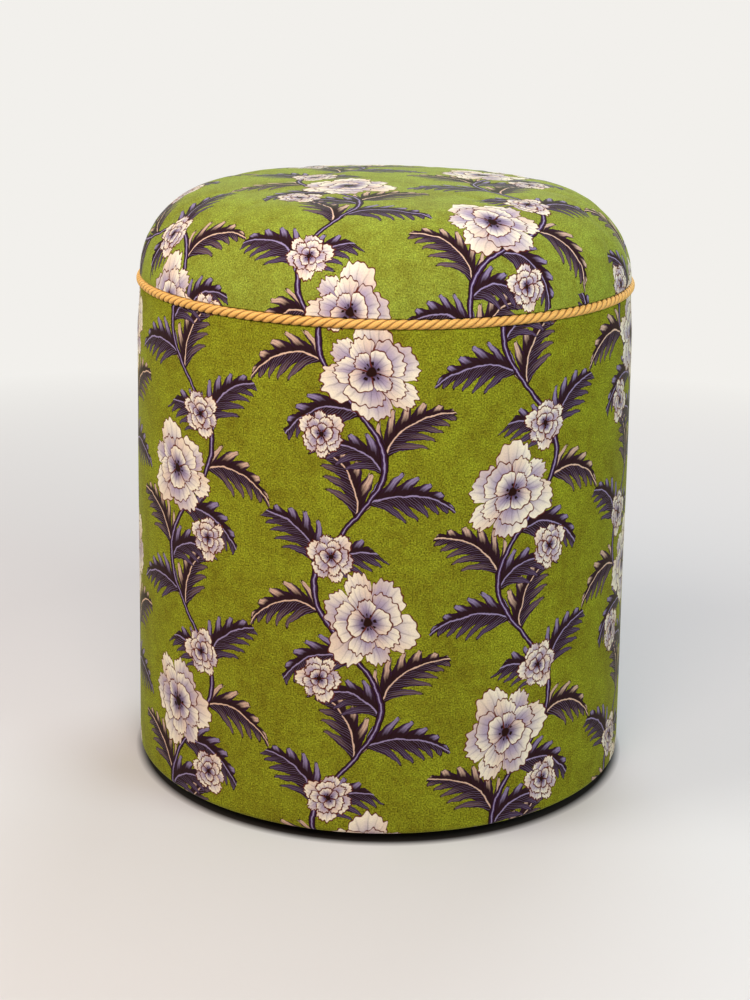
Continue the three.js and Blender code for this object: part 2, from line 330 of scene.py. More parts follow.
@dataclass(frozen=True)
class FloralPrint:
    """Short cotton velvet, screen printed with trailing vines, curled lobed leaves and open blossoms.

    The eye sees a soft olive ground with a mottled pile, and crisp dark outlines with pale, shaded flowers.
    The real pile's tufts are about a tenth of a millimetre, so they are drawn ten times as coarse to show at
    all. Patches where the nap lies another way are up to 50 mm wide. Lengths are millimetres of cloth.
    """

    name: str = "printed_cotton_velvet"
    origin: Point = (0.0, 0.0)
    ground: str = "868F21"
    worn_ground: str = "737218"
    sheen: str = "DCF5C0"
    repeat_width: float = 132.0
    repeat_height: float = 178.0
    line_mm: float = 1.0
    edge_mm: float = 0.35
    wander_mm: float = 2.6
    wander_size_mm: float = 17.0
    pile_mm: float = 1.1
    pile_contrast: float = 2.7
    pile_contrast_on_motifs: float = 0.35
    pile_bump_mm: float = 0.4
    lightness: float = 1.08
    mottle_mm: float = 50.0
    slub_mm: float = 1.3
    slub_squeeze: float = 0.03
    slub_contrast: float = 0.3
    vine_swing: float = 24.0
    vine_width: float = 1.7
    row_tilt: float = 0.55
    lobe_slant: float = 0.9
    lobe_stagger: float = 0.4
    lobe_bend: float = 1.5
    belly_bend: float = 0.7
    teeth: float = 4.0
    tooth_depth: float = 0.22
    hatch_lines: int = 5
    hatch_share: float = 0.35
    petal_waist: float = 0.60
    petal_bend: float = 0.4
    ruffles: tuple[float, float] = (9.0, 14.0)
    veins: float = 11.0
    heart_share: float = 0.1
    seed_share: float = 0.15
    seed_half_width: float = 0.03
    seeds: float = 9.0
    fronds: tuple[Frond, ...] = (
        Frond(-84, -1, 62, 26, 44, 0.30, 5, light=DYES.blush),
        Frond(-74, 1, 66, 20, 40, 0.29, 6),
        Frond(-52, -1, 56, 30, 60, 0.31, 5),
        Frond(-40, 1, 66, 24, 46, 0.30, 6, light=DYES.blush),
        Frond(-10, -1, 66, 20, 56, 0.29, 6),
        Frond(-6, 1, 44, 34, 30, 0.26, 4),
        Frond(26, -1, 60, 30, 52, 0.31, 5, light=DYES.blush),
        Frond(50, 1, 62, 18, 50, 0.30, 6),
        Frond(58, -1, 64, 26, 50, 0.30, 6),
    )
    blossoms: tuple[Blossom, ...] = (
        Blossom(20, 30, 35, 20),
        Blossom(-24, -38, 17, 70),
        Blossom(66, 5, 18, 200),
    )
    rings: tuple[PetalRing, ...] = (
        PetalRing(6, 1.0, 0, 0.05),
        PetalRing(5, 0.74, 34, 0.05),
        PetalRing(4, 0.46, 12, 0.04),
    )

    def vine(self, height: float) -> tuple[float, float]:
        """Where the vine is at a height, and the angle that it grows at.

        Args:
            height: The height within the repeat, in millimetres.

        Returns:
            Its place across the repeat, and its angle in radians.
        """
        rate = TURN / self.repeat_height
        slope = -self.vine_swing * rate * math.cos(rate * height)
        return -self.vine_swing * math.sin(rate * height), math.pi / 2 - math.atan(slope)

    def frond_group(self) -> NodeTree:
        """Build the node group that paints one leaf over a colour.

        Returns:
            The group.
        """
        words = ["Cloth", "Root", "Heading", "Size"]
        numbers = ["Length", "Width", "Curl", "Lobes", "Depth"]
        tree, given, result = motif_group("leaf", words, numbers, ["Ground", "Light"])
        sockets = zip(("Vector", "Location", "Rotation", "Scale"), words)
        inputs = {socket: given.outputs[word] for socket, word in sockets}
        laid = add_node(tree, "ShaderNodeMapping", inputs, vector_type="TEXTURE")
        length, width, curl, lobes, depth = (Field(given.outputs[n]) for n in numbers)
        light = given.outputs["Light"]
        reach = Field(add_node(tree, "ShaderNodeVectorMath", {0: laid}, operation="LENGTH").outputs[1])
        inputs = {"Vector": laid, "Angle": reach * curl}
        straight = add_node(tree, "ShaderNodeVectorRotate", inputs, rotation_type="Z_AXIS")
        split = add_node(tree, "ShaderNodeSeparateXYZ", {0: straight})
        along = Field(split.outputs[0]).through("ADD", 0.0, clamp=True)
        offset = Field(split.outputs[1])
        across = abs(offset)
        left = offset.above(0.0, 0.02)
        girth = (along ** self.belly_bend).wave(math.pi) * width
        slanted = along - across * self.lobe_slant
        phase = slanted.through("MULTIPLY_ADD", lobes, left * self.lobe_stagger)
        lobe = phase.through("FRACT")
        swell = (lobe ** self.lobe_bend).wave(math.pi)
        teeth = (phase * self.teeth).through("FRACT") * depth
        edge = girth * swell.through("MULTIPLY_ADD", depth, depth.rest())
        edge = edge * teeth.through("MULTIPLY_ADD", -self.tooth_depth, 1.06)
        edge = edge.through("MINIMUM", along * (1 / self.lobe_slant))
        inside = (edge - across) * length
        share = across.through("DIVIDE", edge)
        lit = swell.above(0.8, 0.22) * share.above(0.42, 0.3)
        flesh = Paint(linear(DYES.plum)).under(linear(DYES.indigo), share.above(0.6, 0.4) * 0.75)
        flesh = flesh.under(light, lit * left.through("MULTIPLY_ADD", 0.7, 0.12))
        hatch = phase.wave(TURN * self.hatch_lines).above(0.8, 0.35) * self.hatch_share
        flesh = flesh.under(linear(DYES.lilac), hatch * left.rest())
        flesh = flesh.under(linear(DYES.plum), hatch * left)
        flesh = flesh.under(linear(DYES.ink), lobe.above(0.18, 0.14).rest() * depth)
        flesh = flesh.under(light, (across * length).above(0.5, 0.45).rest())
        drawn = Paint(linear(DYES.ink)).under(flesh, inside.above(self.line_mm, self.edge_mm))
        whole = Paint(given.outputs["Ground"]).under(drawn, inside.above(0.2, self.edge_mm))
        fill(result, {"Colour": whole})
        return tree

    def blossom_group(self) -> NodeTree:
        """Build the node group that paints one blossom over a colour.

        Returns:
            The group.
        """
        words = ["Cloth", "Centre", "Size"]
        tree, given, result = motif_group("blossom", words, ["Radius", "Turn"], ["Ground"])
        inputs = {socket: given.outputs[word] for socket, word in zip(("Vector", "Location", "Scale"), words)}
        laid = add_node(tree, "ShaderNodeMapping", inputs, vector_type="TEXTURE")
        split = add_node(tree, "ShaderNodeSeparateXYZ", {0: laid})
        reach = Field(add_node(tree, "ShaderNodeVectorMath", {0: laid}, operation="LENGTH").outputs[1])
        around = Field(split.outputs[1]).through("ARCTAN2", Field(split.outputs[0]))
        around = around + Field(given.outputs["Turn"])
        angle = around.wave(2.0).through("MULTIPLY_ADD", 0.22, around)
        squeeze = (around * 3.0).through("COSINE").through("MULTIPLY_ADD", 0.07, 1.0)
        reach = reach * squeeze
        whole = Paint(given.outputs["Ground"])
        for ring in self.rings:
            whole = self.petal_ring(whole, ring, angle, reach, Field(given.outputs["Radius"]))
        heart = reach.above(self.heart_share, 0.03).rest()
        band = abs(reach - self.seed_share).above(self.seed_half_width, 0.02).rest()
        seeds = angle.wave(self.seeds).above(0.35, 0.2) * band
        whole = whole.under(linear(DYES.ink), heart).under(linear(DYES.ink), seeds)
        fill(result, {"Colour": whole})
        return tree

    def petal_ring(self, ground: Paint, ring: PetalRing, angle: Field, reach: Field, radius: Field) -> Paint:
        """Paint one ring of petals.

        Args:
            ground: The colour so far.
            ring: The petals.
            angle: The direction from the blossom's centre, in radians.
            reach: The distance from the centre, as a share of the radius.
            radius: The blossom's radius in millimetres.

        Returns:
            The colour with the petals on it.
        """
        half = ring.petals / 2
        swing = angle.through("MULTIPLY_ADD", half, math.radians(ring.turn) * half)
        fold = abs(swing.through("COSINE"))
        waist = self.petal_waist * ring.reach_share
        rim = (fold ** self.petal_bend).through("MULTIPLY_ADD", ring.reach_share - waist, waist)
        ruffle = swing.wave(self.ruffles[0]) + swing.wave(self.ruffles[1], 1.0)
        edge = ruffle.through("MULTIPLY_ADD", ring.frill_share * ring.reach_share * 0.5, rim)
        inside = (edge - reach) * radius
        out = reach.through("DIVIDE", edge)
        petal = Paint(linear(DYES.lilac)).under(linear(DYES.cream), out.above(0.64, 0.5))
        petal = petal.under(linear(DYES.blush), swing.wave().above(0.5, 1.2) * 0.6)
        shade = swing.wave(start=0.9).above(0.55, 0.8) * out.above(0.95, 0.5).rest() * 0.7
        petal = petal.under(linear(DYES.lilac), shade)
        petal = petal.under(linear(DYES.indigo), out.above(0.44, 0.5).rest() * 0.8)
        veins = swing.wave(self.veins).above(0.9, 0.25) * out.above(0.86, 0.4).rest() * 0.4
        petal = petal.under(linear(DYES.indigo), veins)
        gap = fold * reach * radius * (1 / half)
        petal = petal.under(linear(DYES.sienna), gap.above(self.line_mm * 0.6, 0.5).rest())
        drawn = Paint(linear(DYES.sienna)).under(petal, inside.above(self.line_mm, self.edge_mm))
        return ground.under(drawn, inside.above(0.0, self.edge_mm))

    def cell(self, tree: NodeTree, cloth: Node) -> tuple[Node, Field, Field]:
        """Fold the cloth into one repeat: every other column is dropped by half a repeat and mirrored.

        The columns' edges run beside the vines, and the rows' edges slope across them between the leaves.

        Args:
            tree: The material's tree.
            cloth: The place on the cloth in millimetres.

        Returns:
            The place in the repeat, its distance from the vine, and a number of the repeat's own from 0 to 1.
        """
        split = add_node(tree, "ShaderNodeSeparateXYZ", {0: cloth})
        x, y = Field(split.outputs[0]), Field(split.outputs[1])
        swing = y.wave(TURN / self.repeat_height) * self.vine_swing
        column = (x + swing).through("MULTIPLY_ADD", 1 / self.repeat_width, 0.5).through("FLOOR")
        odd = column.through("FLOORED_MODULO", 2.0)
        plain = column.through("MULTIPLY_ADD", -self.repeat_width, x)
        mirror = odd.through("MULTIPLY_ADD", -2.0, 1.0)
        aside = (plain + swing) * mirror
        dropped = odd.through("MULTIPLY_ADD", self.repeat_height / 2, y)
        level = aside.through("MULTIPLY_ADD", self.row_tilt, dropped)
        row = level.through("MULTIPLY_ADD", 1 / self.repeat_height, 0.5).through("FLOOR")
        across = plain * mirror
        up = row.through("MULTIPLY_ADD", -self.repeat_height, dropped)
        place = add_node(tree, "ShaderNodeCombineXYZ", {0: across, 1: up})
        cell = add_node(tree, "ShaderNodeCombineXYZ", {0: column, 1: row})
        own = add_node(tree, "ShaderNodeTexWhiteNoise", {"Vector": cell}, noise_dimensions="2D")
        return place, abs(aside), Field(own.outputs[0])

    def motifs(self, tree: NodeTree, cloth: Node, whole: Paint) -> Paint:
        """Paint the whole print over the ground.

        Args:
            tree: The material's tree.
            cloth: The place on the cloth in millimetres.
            whole: The ground's colour.

        Returns:
            The print's colour.
        """
        place, away, own = self.cell(tree, cloth)
        leaf, flower = self.frond_group(), self.blossom_group()
        for frond in self.fronds:
            across, angle = self.vine(frond.height)
            inputs = {
                "Ground": whole,
                "Cloth": place,
                "Root": (across, frond.height, 0.0),
                "Heading": (0.0, 0.0, angle - frond.side * math.radians(frond.lean)),
                "Size": (frond.length, frond.side * frond.length, 1.0),
                "Length": frond.length,
                "Width": frond.width_share,
                "Curl": math.radians(frond.curl),
                "Lobes": frond.lobes,
                "Depth": frond.depth_share,
                "Light": linear(frond.light),
            }
            whole = Paint(add_node(tree, "ShaderNodeGroup", inputs, node_tree=leaf).outputs[0])
        widths = (self.vine_width + self.line_mm, self.vine_width, self.vine_width * 0.3)
        for colour, width in zip((DYES.ink, DYES.indigo, DYES.lilac), widths):
            whole = whole.under(linear(colour), away.above(width, 0.4).rest())
        for blossom in self.blossoms:
            inputs = {
                "Ground": whole,
                "Cloth": place,
                "Centre": (self.vine(blossom.height)[0] + blossom.away, blossom.height, 0.0),
                "Size": (blossom.radius, blossom.radius, 1.0),
                "Radius": blossom.radius,
                "Turn": own.through("MULTIPLY_ADD", TURN, math.radians(blossom.turn)),
            }
            whole = Paint(add_node(tree, "ShaderNodeGroup", inputs, node_tree=flower).outputs[0])
        return whole

    def material(self) -> Material:
        """Make the velvet: the print, a mottled pile, a soft sheen and a fine bump.

        Returns:
            The material.
        """
        material, tree, shader = new_material(self.name)
        cloth = add_node(tree, "ShaderNodeUVMap", uv_map=PRINT_MAP)
        inputs = {0: cloth, 1: (*self.origin, 0.0)}
        moved = add_node(tree, "ShaderNodeVectorMath", inputs, operation="ADD")
        inputs = {"Vector": moved, "Scale": 1 / self.wander_size_mm, "Detail": 4.0, "Roughness": 0.6}
        wander = add_node(tree, "ShaderNodeTexNoise", inputs)
        inputs = {0: wander.outputs[1], 1: (2 * self.wander_mm,) * 3, 2: moved}
        drawn = add_node(tree, "ShaderNodeVectorMath", inputs, operation="MULTIPLY_ADD")
        inputs = {"Vector": moved, "Scale": (1.0, self.slub_squeeze, 1.0)}
        streaked = add_node(tree, "ShaderNodeMapping", inputs)
        noises = (
            {"Vector": moved, "Scale": 1 / self.pile_mm, "Detail": 1.5},
            {"Vector": moved, "Scale": 1 / self.mottle_mm, "Detail": 4.0, "Roughness": 1.0},
            {"Vector": streaked, "Scale": 1 / self.slub_mm, "Detail": 2.0},
        )
        made = [add_node(tree, "ShaderNodeTexNoise", each) for each in noises]
        pile, mottle, slub = (Field(each.outputs[0]) for each in made)
        ground = Paint(linear(self.ground)).under(linear(self.worn_ground), mottle.above(0.5, 0.25))
        tufts = pile.around(self.lightness, self.pile_contrast) + slub.around(0.0, self.slub_contrast)
        worn = add_node(tree, "ShaderNodeHueSaturation", {"Value": tufts, "Color": ground})
        whole = self.motifs(tree, drawn, Paint(worn.outputs[0]))
        tufts = pile.around(1.0, self.pile_contrast_on_motifs)
        worn = add_node(tree, "ShaderNodeHueSaturation", {"Value": tufts, "Color": whole})
        inputs = {"Strength": 0.2, "Distance": self.pile_bump_mm * MM, "Height": pile}
        values = {
            "Base Color": worn,
            "Normal": add_node(tree, "ShaderNodeBump", inputs),
            "Roughness": 0.95,
            "IOR": 1.53,
            "Specular IOR Level": 0.08,
            "Sheen Weight": 0.2,
            "Sheen Roughness": 0.3,
            "Sheen Tint": linear(self.sheen),
        }
        fill(shader, values)
        return material


def motif_group(
    name: str, words: Sequence[str], numbers: Sequence[str], colours: Sequence[str]
) -> tuple[NodeTree, Node, Node]:
    """Start a node group that takes places, numbers and colours and gives one colour.

    Args:
        name: The group's name.
        words: The names of its vector inputs.
        numbers: The names of its number inputs.
        colours: The names of its colour inputs.

    Returns:
        The group, the node that holds its inputs and the node that takes its result.
    """
    tree = bpy.data.node_groups.new(name, "ShaderNodeTree")
    sorts = {"NodeSocketVector": words, "NodeSocketFloat": numbers, "NodeSocketColor": colours}
    for sort, names in sorts.items():
        for each in names:
            tree.interface.new_socket(name=each, in_out="INPUT", socket_type=sort)
    tree.interface.new_socket(name="Colour", in_out="OUTPUT", socket_type="NodeSocketColor")
    given = add_node(tree, "NodeGroupInput")
    result = add_node(tree, "NodeGroupOutput")
    return tree, given, result


# Other finishes


@dataclass(frozen=True)
class TwistedViscose:
    """Three-strand viscose cord, twisted: bright amber strands with fine plies across them.

    Painted shade darkens the hollows between the plies and, more, the grooves between the strands, and the
    ply tops are painted lighter. The plies are drawn about twice as coarse as real ones, so that they show.
    """

    name: str = "twisted_viscose_cord"
    light: str = "FBCB74"
    # Painted shade: the next colour fills the hollows between the plies, under the lighter ply tops.
    ply_hollow_shade: str = "DCA04A"
    # Painted shade: the next colour, by its share, darkens the grooves between the strands.
    painted_groove_shade: str = "86531F"
    painted_groove_shade_share: float = 0.8
    sheen: str = "FFE2A8"
    ply_mm: float = 0.75
    slope: float = 4.0
    ply_share: float = 0.6
    fibre_mm: float = 0.5
    fibre_share: float = 0.5
    bump_mm: float = 0.25

    def material(self) -> Material:
        """Make the cord's material.

        Returns:
            The material.
        """
        material, tree, shader = new_material(self.name)
        lay = add_node(tree, "ShaderNodeUVMap", uv_map=LAY_MAP)
        split = add_node(tree, "ShaderNodeSeparateXYZ", {0: lay})
        along, around = Field(split.outputs[0]), Field(split.outputs[1])
        phase = along * (1 / self.ply_mm) + around * self.slope
        ply = phase.wave(TURN).through("MULTIPLY_ADD", 0.5, 0.5)
        fibre = Grain(self.fibre_mm).over_object(tree) * self.fibre_share
        # Painted light and shade: raised ply tops get the light colour and the hollows between plies the
        # darker one, mixed with a random fibre tone.
        lit_ply_tops = (ply * self.ply_share + fibre).above(0.5, 0.8)
        outward = (around * TURN).through("COSINE")
        colour = Paint(linear(self.ply_hollow_shade)).under(linear(self.light), lit_ply_tops)
        # Painted shade: each strand's side that faces the others, in the grooves, is darkened.
        colour = colour.under(linear(self.painted_groove_shade), outward.above(0.22, 0.5).rest() * self.painted_groove_shade_share)
        inputs = {"Strength": 0.5, "Distance": self.bump_mm * MM, "Height": ply + fibre}
        values = {
            "Base Color": colour,
            "Normal": add_node(tree, "ShaderNodeBump", inputs),
            "Roughness": 0.55,
            "IOR": 1.53,
            "Specular IOR Level": 0.4,
            "Sheen Weight": 0.15,
            "Sheen Tint": linear(self.sheen),
        }
        fill(shader, values)
        return material


@dataclass(frozen=True)
class Grained:
    """A plain finish: two colours mixed by a grain at its real size, with a matching bump.

    Metal keeps the shader's own IOR.
    """

    name: str
    light: str
    dark: str
    grain_mm: float
    roughness: float
    stretch: tuple[float, float, float] = (1.0, 1.0, 1.0)
    bump_mm: float = 0.1
    metallic: float = 0.0
    sheen: float = 0.0
    contrast: float = 0.5
    detail: float = 3.0
    uneven_gloss: float = 0.16
    ior: float = 1.53

    def material(self) -> Material:
        """Make the finish.

        Returns:
            The material.
        """
        material, tree, shader = new_material(self.name)
        grain = Grain(self.grain_mm, self.stretch, self.detail).over_object(tree)
        colour = Paint(linear(self.dark)).under(linear(self.light), grain.above(0.5, self.contrast))
        inputs = {"Strength": 0.4, "Distance": self.bump_mm * MM, "Height": grain}
        values = {
            "Base Color": colour,
            "Normal": add_node(tree, "ShaderNodeBump", inputs),
            "Roughness": grain.around(self.roughness, self.uneven_gloss),
            "Metallic": self.metallic,
            "Sheen Weight": self.sheen,
        }
        fill(shader, values if self.metallic else {**values, "IOR": self.ior})
        return material


# Birch plywood, sawn: long pale grain lines on its faces.
BIRCH_PLYWOOD = Grained("sawn_birch_plywood", "D9BC8C", "B8935F", 1.6, 0.65, (14, 1, 1), 0.08)
# Pine, planed: wider, warmer upright grain.
PLANED_PINE = Grained("planed_pine", "E2C48E", "C29A5F", 3.0, 0.6, (1, 1, 16), 0.08)
# Polyurethane foam, cut: cream, with pinhole cells, which are drawn a little coarse so that they show.
CUT_FOAM = Grained("cut_polyurethane_foam", "EFE6C2", "CFC296", 0.8, 0.95, bump_mm=0.3, ior=1.5)
# Polyester wadding, carded: white fluff.
CARDED_WADDING = Grained(
    "carded_polyester_wadding", "F6F5F0", "D8D6CF", 2.5, 1.0, bump_mm=0.6, sheen=0.3, ior=1.57
)
# Cotton tape, woven: a fine cream rib.
WOVEN_TAPE = Grained("woven_cotton_tape", "E0CCA2", "BFA677", 0.6, 0.9, (1, 1, 3), 0.15)
# Kraft card, rolled: smooth brown with short fibres.
ROLLED_CARD = Grained("rolled_kraft_card", "B59A73", "8E7552", 1.2, 0.85, (4, 4, 1), 0.05)
# Polypropylene cloth, spunbonded: near black, with a fine pressed fleck.
SPUNBONDED_CLOTH = Grained("spunbonded_polypropylene", "3A3A3D", "232325", 1.1, 0.8, bump_mm=0.15, ior=1.49)
# Nylon, moulded: satin black, faintly uneven.
MOULDED_NYLON = Grained("moulded_nylon", "303033", "232325", 2.0, 0.45, bump_mm=0.03)
# Steel, zinc plated: bright grey with a faint cloud.
PLATED_STEEL = Grained("zinc_plated_steel", "C9CCD0", "A9ADB3", 3.0, 0.3, bump_mm=0.01, metallic=1.0)


# Modelling


def deselect_all() -> None:
    """Leave nothing selected, in object mode."""
    if bpy.context.mode != "OBJECT":
        bpy.ops.object.mode_set(mode="OBJECT")
    bpy.ops.object.select_all(action="DESELECT")


def take_up(piece: Object) -> None:
    """Leave one piece selected and active, in object mode.

    Args:
        piece: The piece.
    """
    deselect_all()
    bpy.context.view_layer.objects.active = piece
    piece.select_set(True)


def model_turned(name: str, outline: Outline, sides: int, closed: bool = True) -> Object:
    """Model a turned form by hand: a circle, extruded and scaled ring by ring along an outline.

    Args:
        name: The piece's name.
        outline: Radius and height of each ring. A radius of zero at an end closes it on the axis, and an
            outline with none joins its last ring to its first.
        sides: How many sides the circle has.
        closed: Whether it ends closed. An open form keeps its last ring as its edge.

    Returns:
        The piece, with its normals outwards.
    """
    deselect_all()
    rings = [p for p in outline if p[0] > 0]
    poled = len(rings) < len(outline)
    bpy.ops.mesh.primitive_circle_add(vertices=sides, radius=rings[0][0], enter_editmode=True)
    piece = bpy.context.active_object
    bpy.ops.mesh.select_mode(type="EDGE")
    bpy.ops.transform.translate(value=(0, 0, rings[0][1]))
    for (radius, height), (wider, higher) in pairwise(rings if poled else [*rings, rings[0]]):
        bpy.ops.mesh.extrude_edges_move(TRANSFORM_OT_translate={"value": (0, 0, higher - height)})
        share = wider / radius
        bpy.ops.transform.resize(value=(share, share, 1), center_override=(0, 0, higher))
    if poled and closed:
        close_pole(piece, outline[-1][1])
    if poled:
        select_ring(piece, range(sides))
        close_pole(piece, outline[0][1])
    bpy.ops.mesh.select_all(action="SELECT")
    bpy.ops.mesh.remove_doubles(threshold=WELD)
    bpy.ops.mesh.normals_make_consistent(inside=False)
    bpy.ops.object.mode_set(mode="OBJECT")
    bpy.ops.object.shade_smooth_by_angle(angle=SMOOTH_ANGLE)
    piece.name = piece.data.name = name
    return piece


def select_ring(piece: Object, numbers: Sequence[int]) -> None:
    """Select some of a piece's vertices by number.

    Args:
        piece: The piece, in edit mode.
        numbers: The vertices' numbers.
    """
    bpy.ops.mesh.select_all(action="DESELECT")
    bpy.ops.object.mode_set(mode="OBJECT")
    for number in numbers:
        piece.data.vertices[number].select = True
    bpy.ops.object.mode_set(mode="EDIT")
    bpy.ops.mesh.select_mode(type="VERT")
    bpy.ops.mesh.select_mode(type="EDGE")


def close_pole(piece: Object, height: float) -> None:
    """Close the selected ring with a fan whose middle stands at a height.

    Args:
        piece: The piece, in edit mode.
        height: The pole's height.
    """
    bpy.ops.mesh.edge_face_add()
    bpy.ops.mesh.poke()
    bpy.ops.object.mode_set(mode="OBJECT")
    piece.data.vertices[-1].co = (0, 0, height)
    bpy.ops.object.mode_set(mode="EDIT")


def select_edges(piece: Object, wanted: Callable[[Vector, Vector], bool]) -> None:
    """Go into edit mode on a piece with some of its edges selected.

    Args:
        piece: The piece.
        wanted: Tells from an edge's two ends whether it is selected.
    """
    take_up(piece)
    bpy.ops.object.mode_set(mode="EDIT")
    bpy.ops.mesh.select_mode(type="EDGE")
    bpy.ops.mesh.select_all(action="DESELECT")
    bpy.ops.object.mode_set(mode="OBJECT")
    for edge in piece.data.edges:
        a, b = (piece.data.vertices[i].co for i in edge.vertices)
        edge.select = wanted(a, b)
    bpy.ops.object.mode_set(mode="EDIT")


def modify(piece: Object, kind: str, **settings: object) -> None:
    """Give a piece a modifier, and apply it.

    Args:
        piece: The piece, which is active.
        kind: The modifier's type.
        settings: The modifier's own properties.
    """
    set_up(piece.modifiers.new(kind, kind), **settings)
    bpy.ops.object.modifier_apply(modifier=kind)


def block(size: Sequence[float], middle: Sequence[float] = (0, 0, 0), turn: float = 0.0) -> Object:
    """Add a plain block.

    Args:
        size: Its size along each axis.
        middle: Where its middle is.
        turn: How far it is turned about the upright axis, in radians.

    Returns:
        The block.
    """
    deselect_all()
    bpy.ops.mesh.primitive_cube_add(size=1, location=middle, rotation=(0, 0, turn))
    made = bpy.context.active_object
    made.scale = size
    bpy.ops.object.transform_apply(location=True, rotation=True, scale=True)
    return made


def copied(source: Object, place: Matrix) -> Object:
    """Copy a piece, with a mesh of its own.

    Args:
        source: The piece.
        place: Where the copy goes.

    Returns:
        The copy.
    """
    copy = source.copy()
    copy.data = source.data.copy()
    copy.data.transform(place)
    bpy.context.scene.collection.objects.link(copy)
    return copy


def cut_away(piece: Object, cutter: Object) -> None:
    """Cut one piece out of another, and take the cutter away.

    Args:
        piece: What is cut.
        cutter: What cuts it.
    """
    take_up(piece)
    modify(piece, "BOOLEAN", operation="DIFFERENCE", object=cutter)
    bpy.data.objects.remove(cutter)


def stands(stem: str, height: float = 0.0) -> list[Vector]:
    """Where the four glides, or their screws, stand.

    Args:
        stem: The start of their CAD nodes' names.
        height: The height of the places.

    Returns:
        The middle of each.
    """
    boxes = [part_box(f"{stem}_{number}") for number in range(1, GLIDES + 1)]
    return [Vector(((low[0] + high[0]) / 2, (low[1] + high[1]) / 2, height)) for low, high in boxes]


def cut_glide_holes(piece: Object, radius: float = 2.05 * MM, depth: float = 12 * MM) -> None:
    """Punch a cloth where the four glide screws pass through it.

    Args:
        piece: The cloth.
        radius: The holes' radius.
        depth: How long the punch is. It starts 1 mm above the floor.
    """
    for middle in stands("glide_screw", depth / 2 + MM):
        deselect_all()
        bpy.ops.mesh.primitive_cylinder_add(vertices=16, radius=radius, depth=depth, location=middle)
        cut_away(piece, bpy.context.active_object)


def joined(name: str, parts: Sequence[Object]) -> Object:
    """Join parts into one piece.

    Args:
        name: The piece's name.
        parts: The parts.

    Returns:
        The piece.
    """
    take_up(parts[0])
    for part in parts:
        part.select_set(True)
    bpy.ops.object.join()
    piece = bpy.context.active_object
    piece.name = piece.data.name = name
    return piece


def reshape(piece: Object, move: Callable[[Vector], Vector]) -> None:
    """Move each vertex of a piece as a hand would press it.

    Args:
        piece: The piece.
        move: Gives a vertex's new place from its old one.
    """
    for vertex in piece.data.vertices:
        vertex.co = move(vertex.co.copy())
    piece.data.update()


def lay_cloth(piece: Object, place: Callable[[Vector], Point], turn: float = math.inf) -> None:
    """Lay the cloth's own millimetres over a piece as a UV map.

    Args:
        piece: The piece.
        place: Gives a vertex's place on the cloth.
        turn: How far across the cloth one turn round the piece is, where the map wraps.
    """
    layer = piece.data.uv_layers.new(name=PRINT_MAP)
    places = [place(vertex.co) for vertex in piece.data.vertices]
    for face in piece.data.polygons:
        corners = [places[i] for i in face.vertices]
        wraps = max(x for x, _ in corners) - min(x for x, _ in corners) > turn / 2
        for loop, (x, y) in zip(face.loop_indices, corners):
            layer.data[loop].uv = (x + turn if wraps and x < 0 else x, y)


def dress(piece: Object, finish: Material, slot: Slot, *nodes: str) -> Object:
    """Give a finished piece its material and its body, and hide the CAD nodes that it stands for.

    Args:
        piece: The piece.
        finish: Its material.
        slot: The record's material slot. It is not used.
        nodes: The CAD nodes that it replaces.

    Returns:
        The piece.
    """
    piece.data.materials.clear()
    piece.data.materials.append(finish)
    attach(piece, "root")
    if nodes:
        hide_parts(*nodes)
    log.info("%s: %d faces", piece.name, len(piece.data.polygons))
    return piece


def arc(centre: Point, radius: float, start: float, end: float, steps: int) -> Outline:
    """Points along an arc.

    Args:
        centre: The arc's centre.
        radius: Its radius.
        start: The angle that it starts at, in radians.
        end: The angle that it ends at.
        steps: How many steps it has.

    Returns:
        The points.
    """
    angles = [start + (end - start) * i / steps for i in range(steps + 1)]
    return [(centre[0] + radius * math.cos(a), centre[1] + radius * math.sin(a)) for a in angles]


# Sub-assemblies


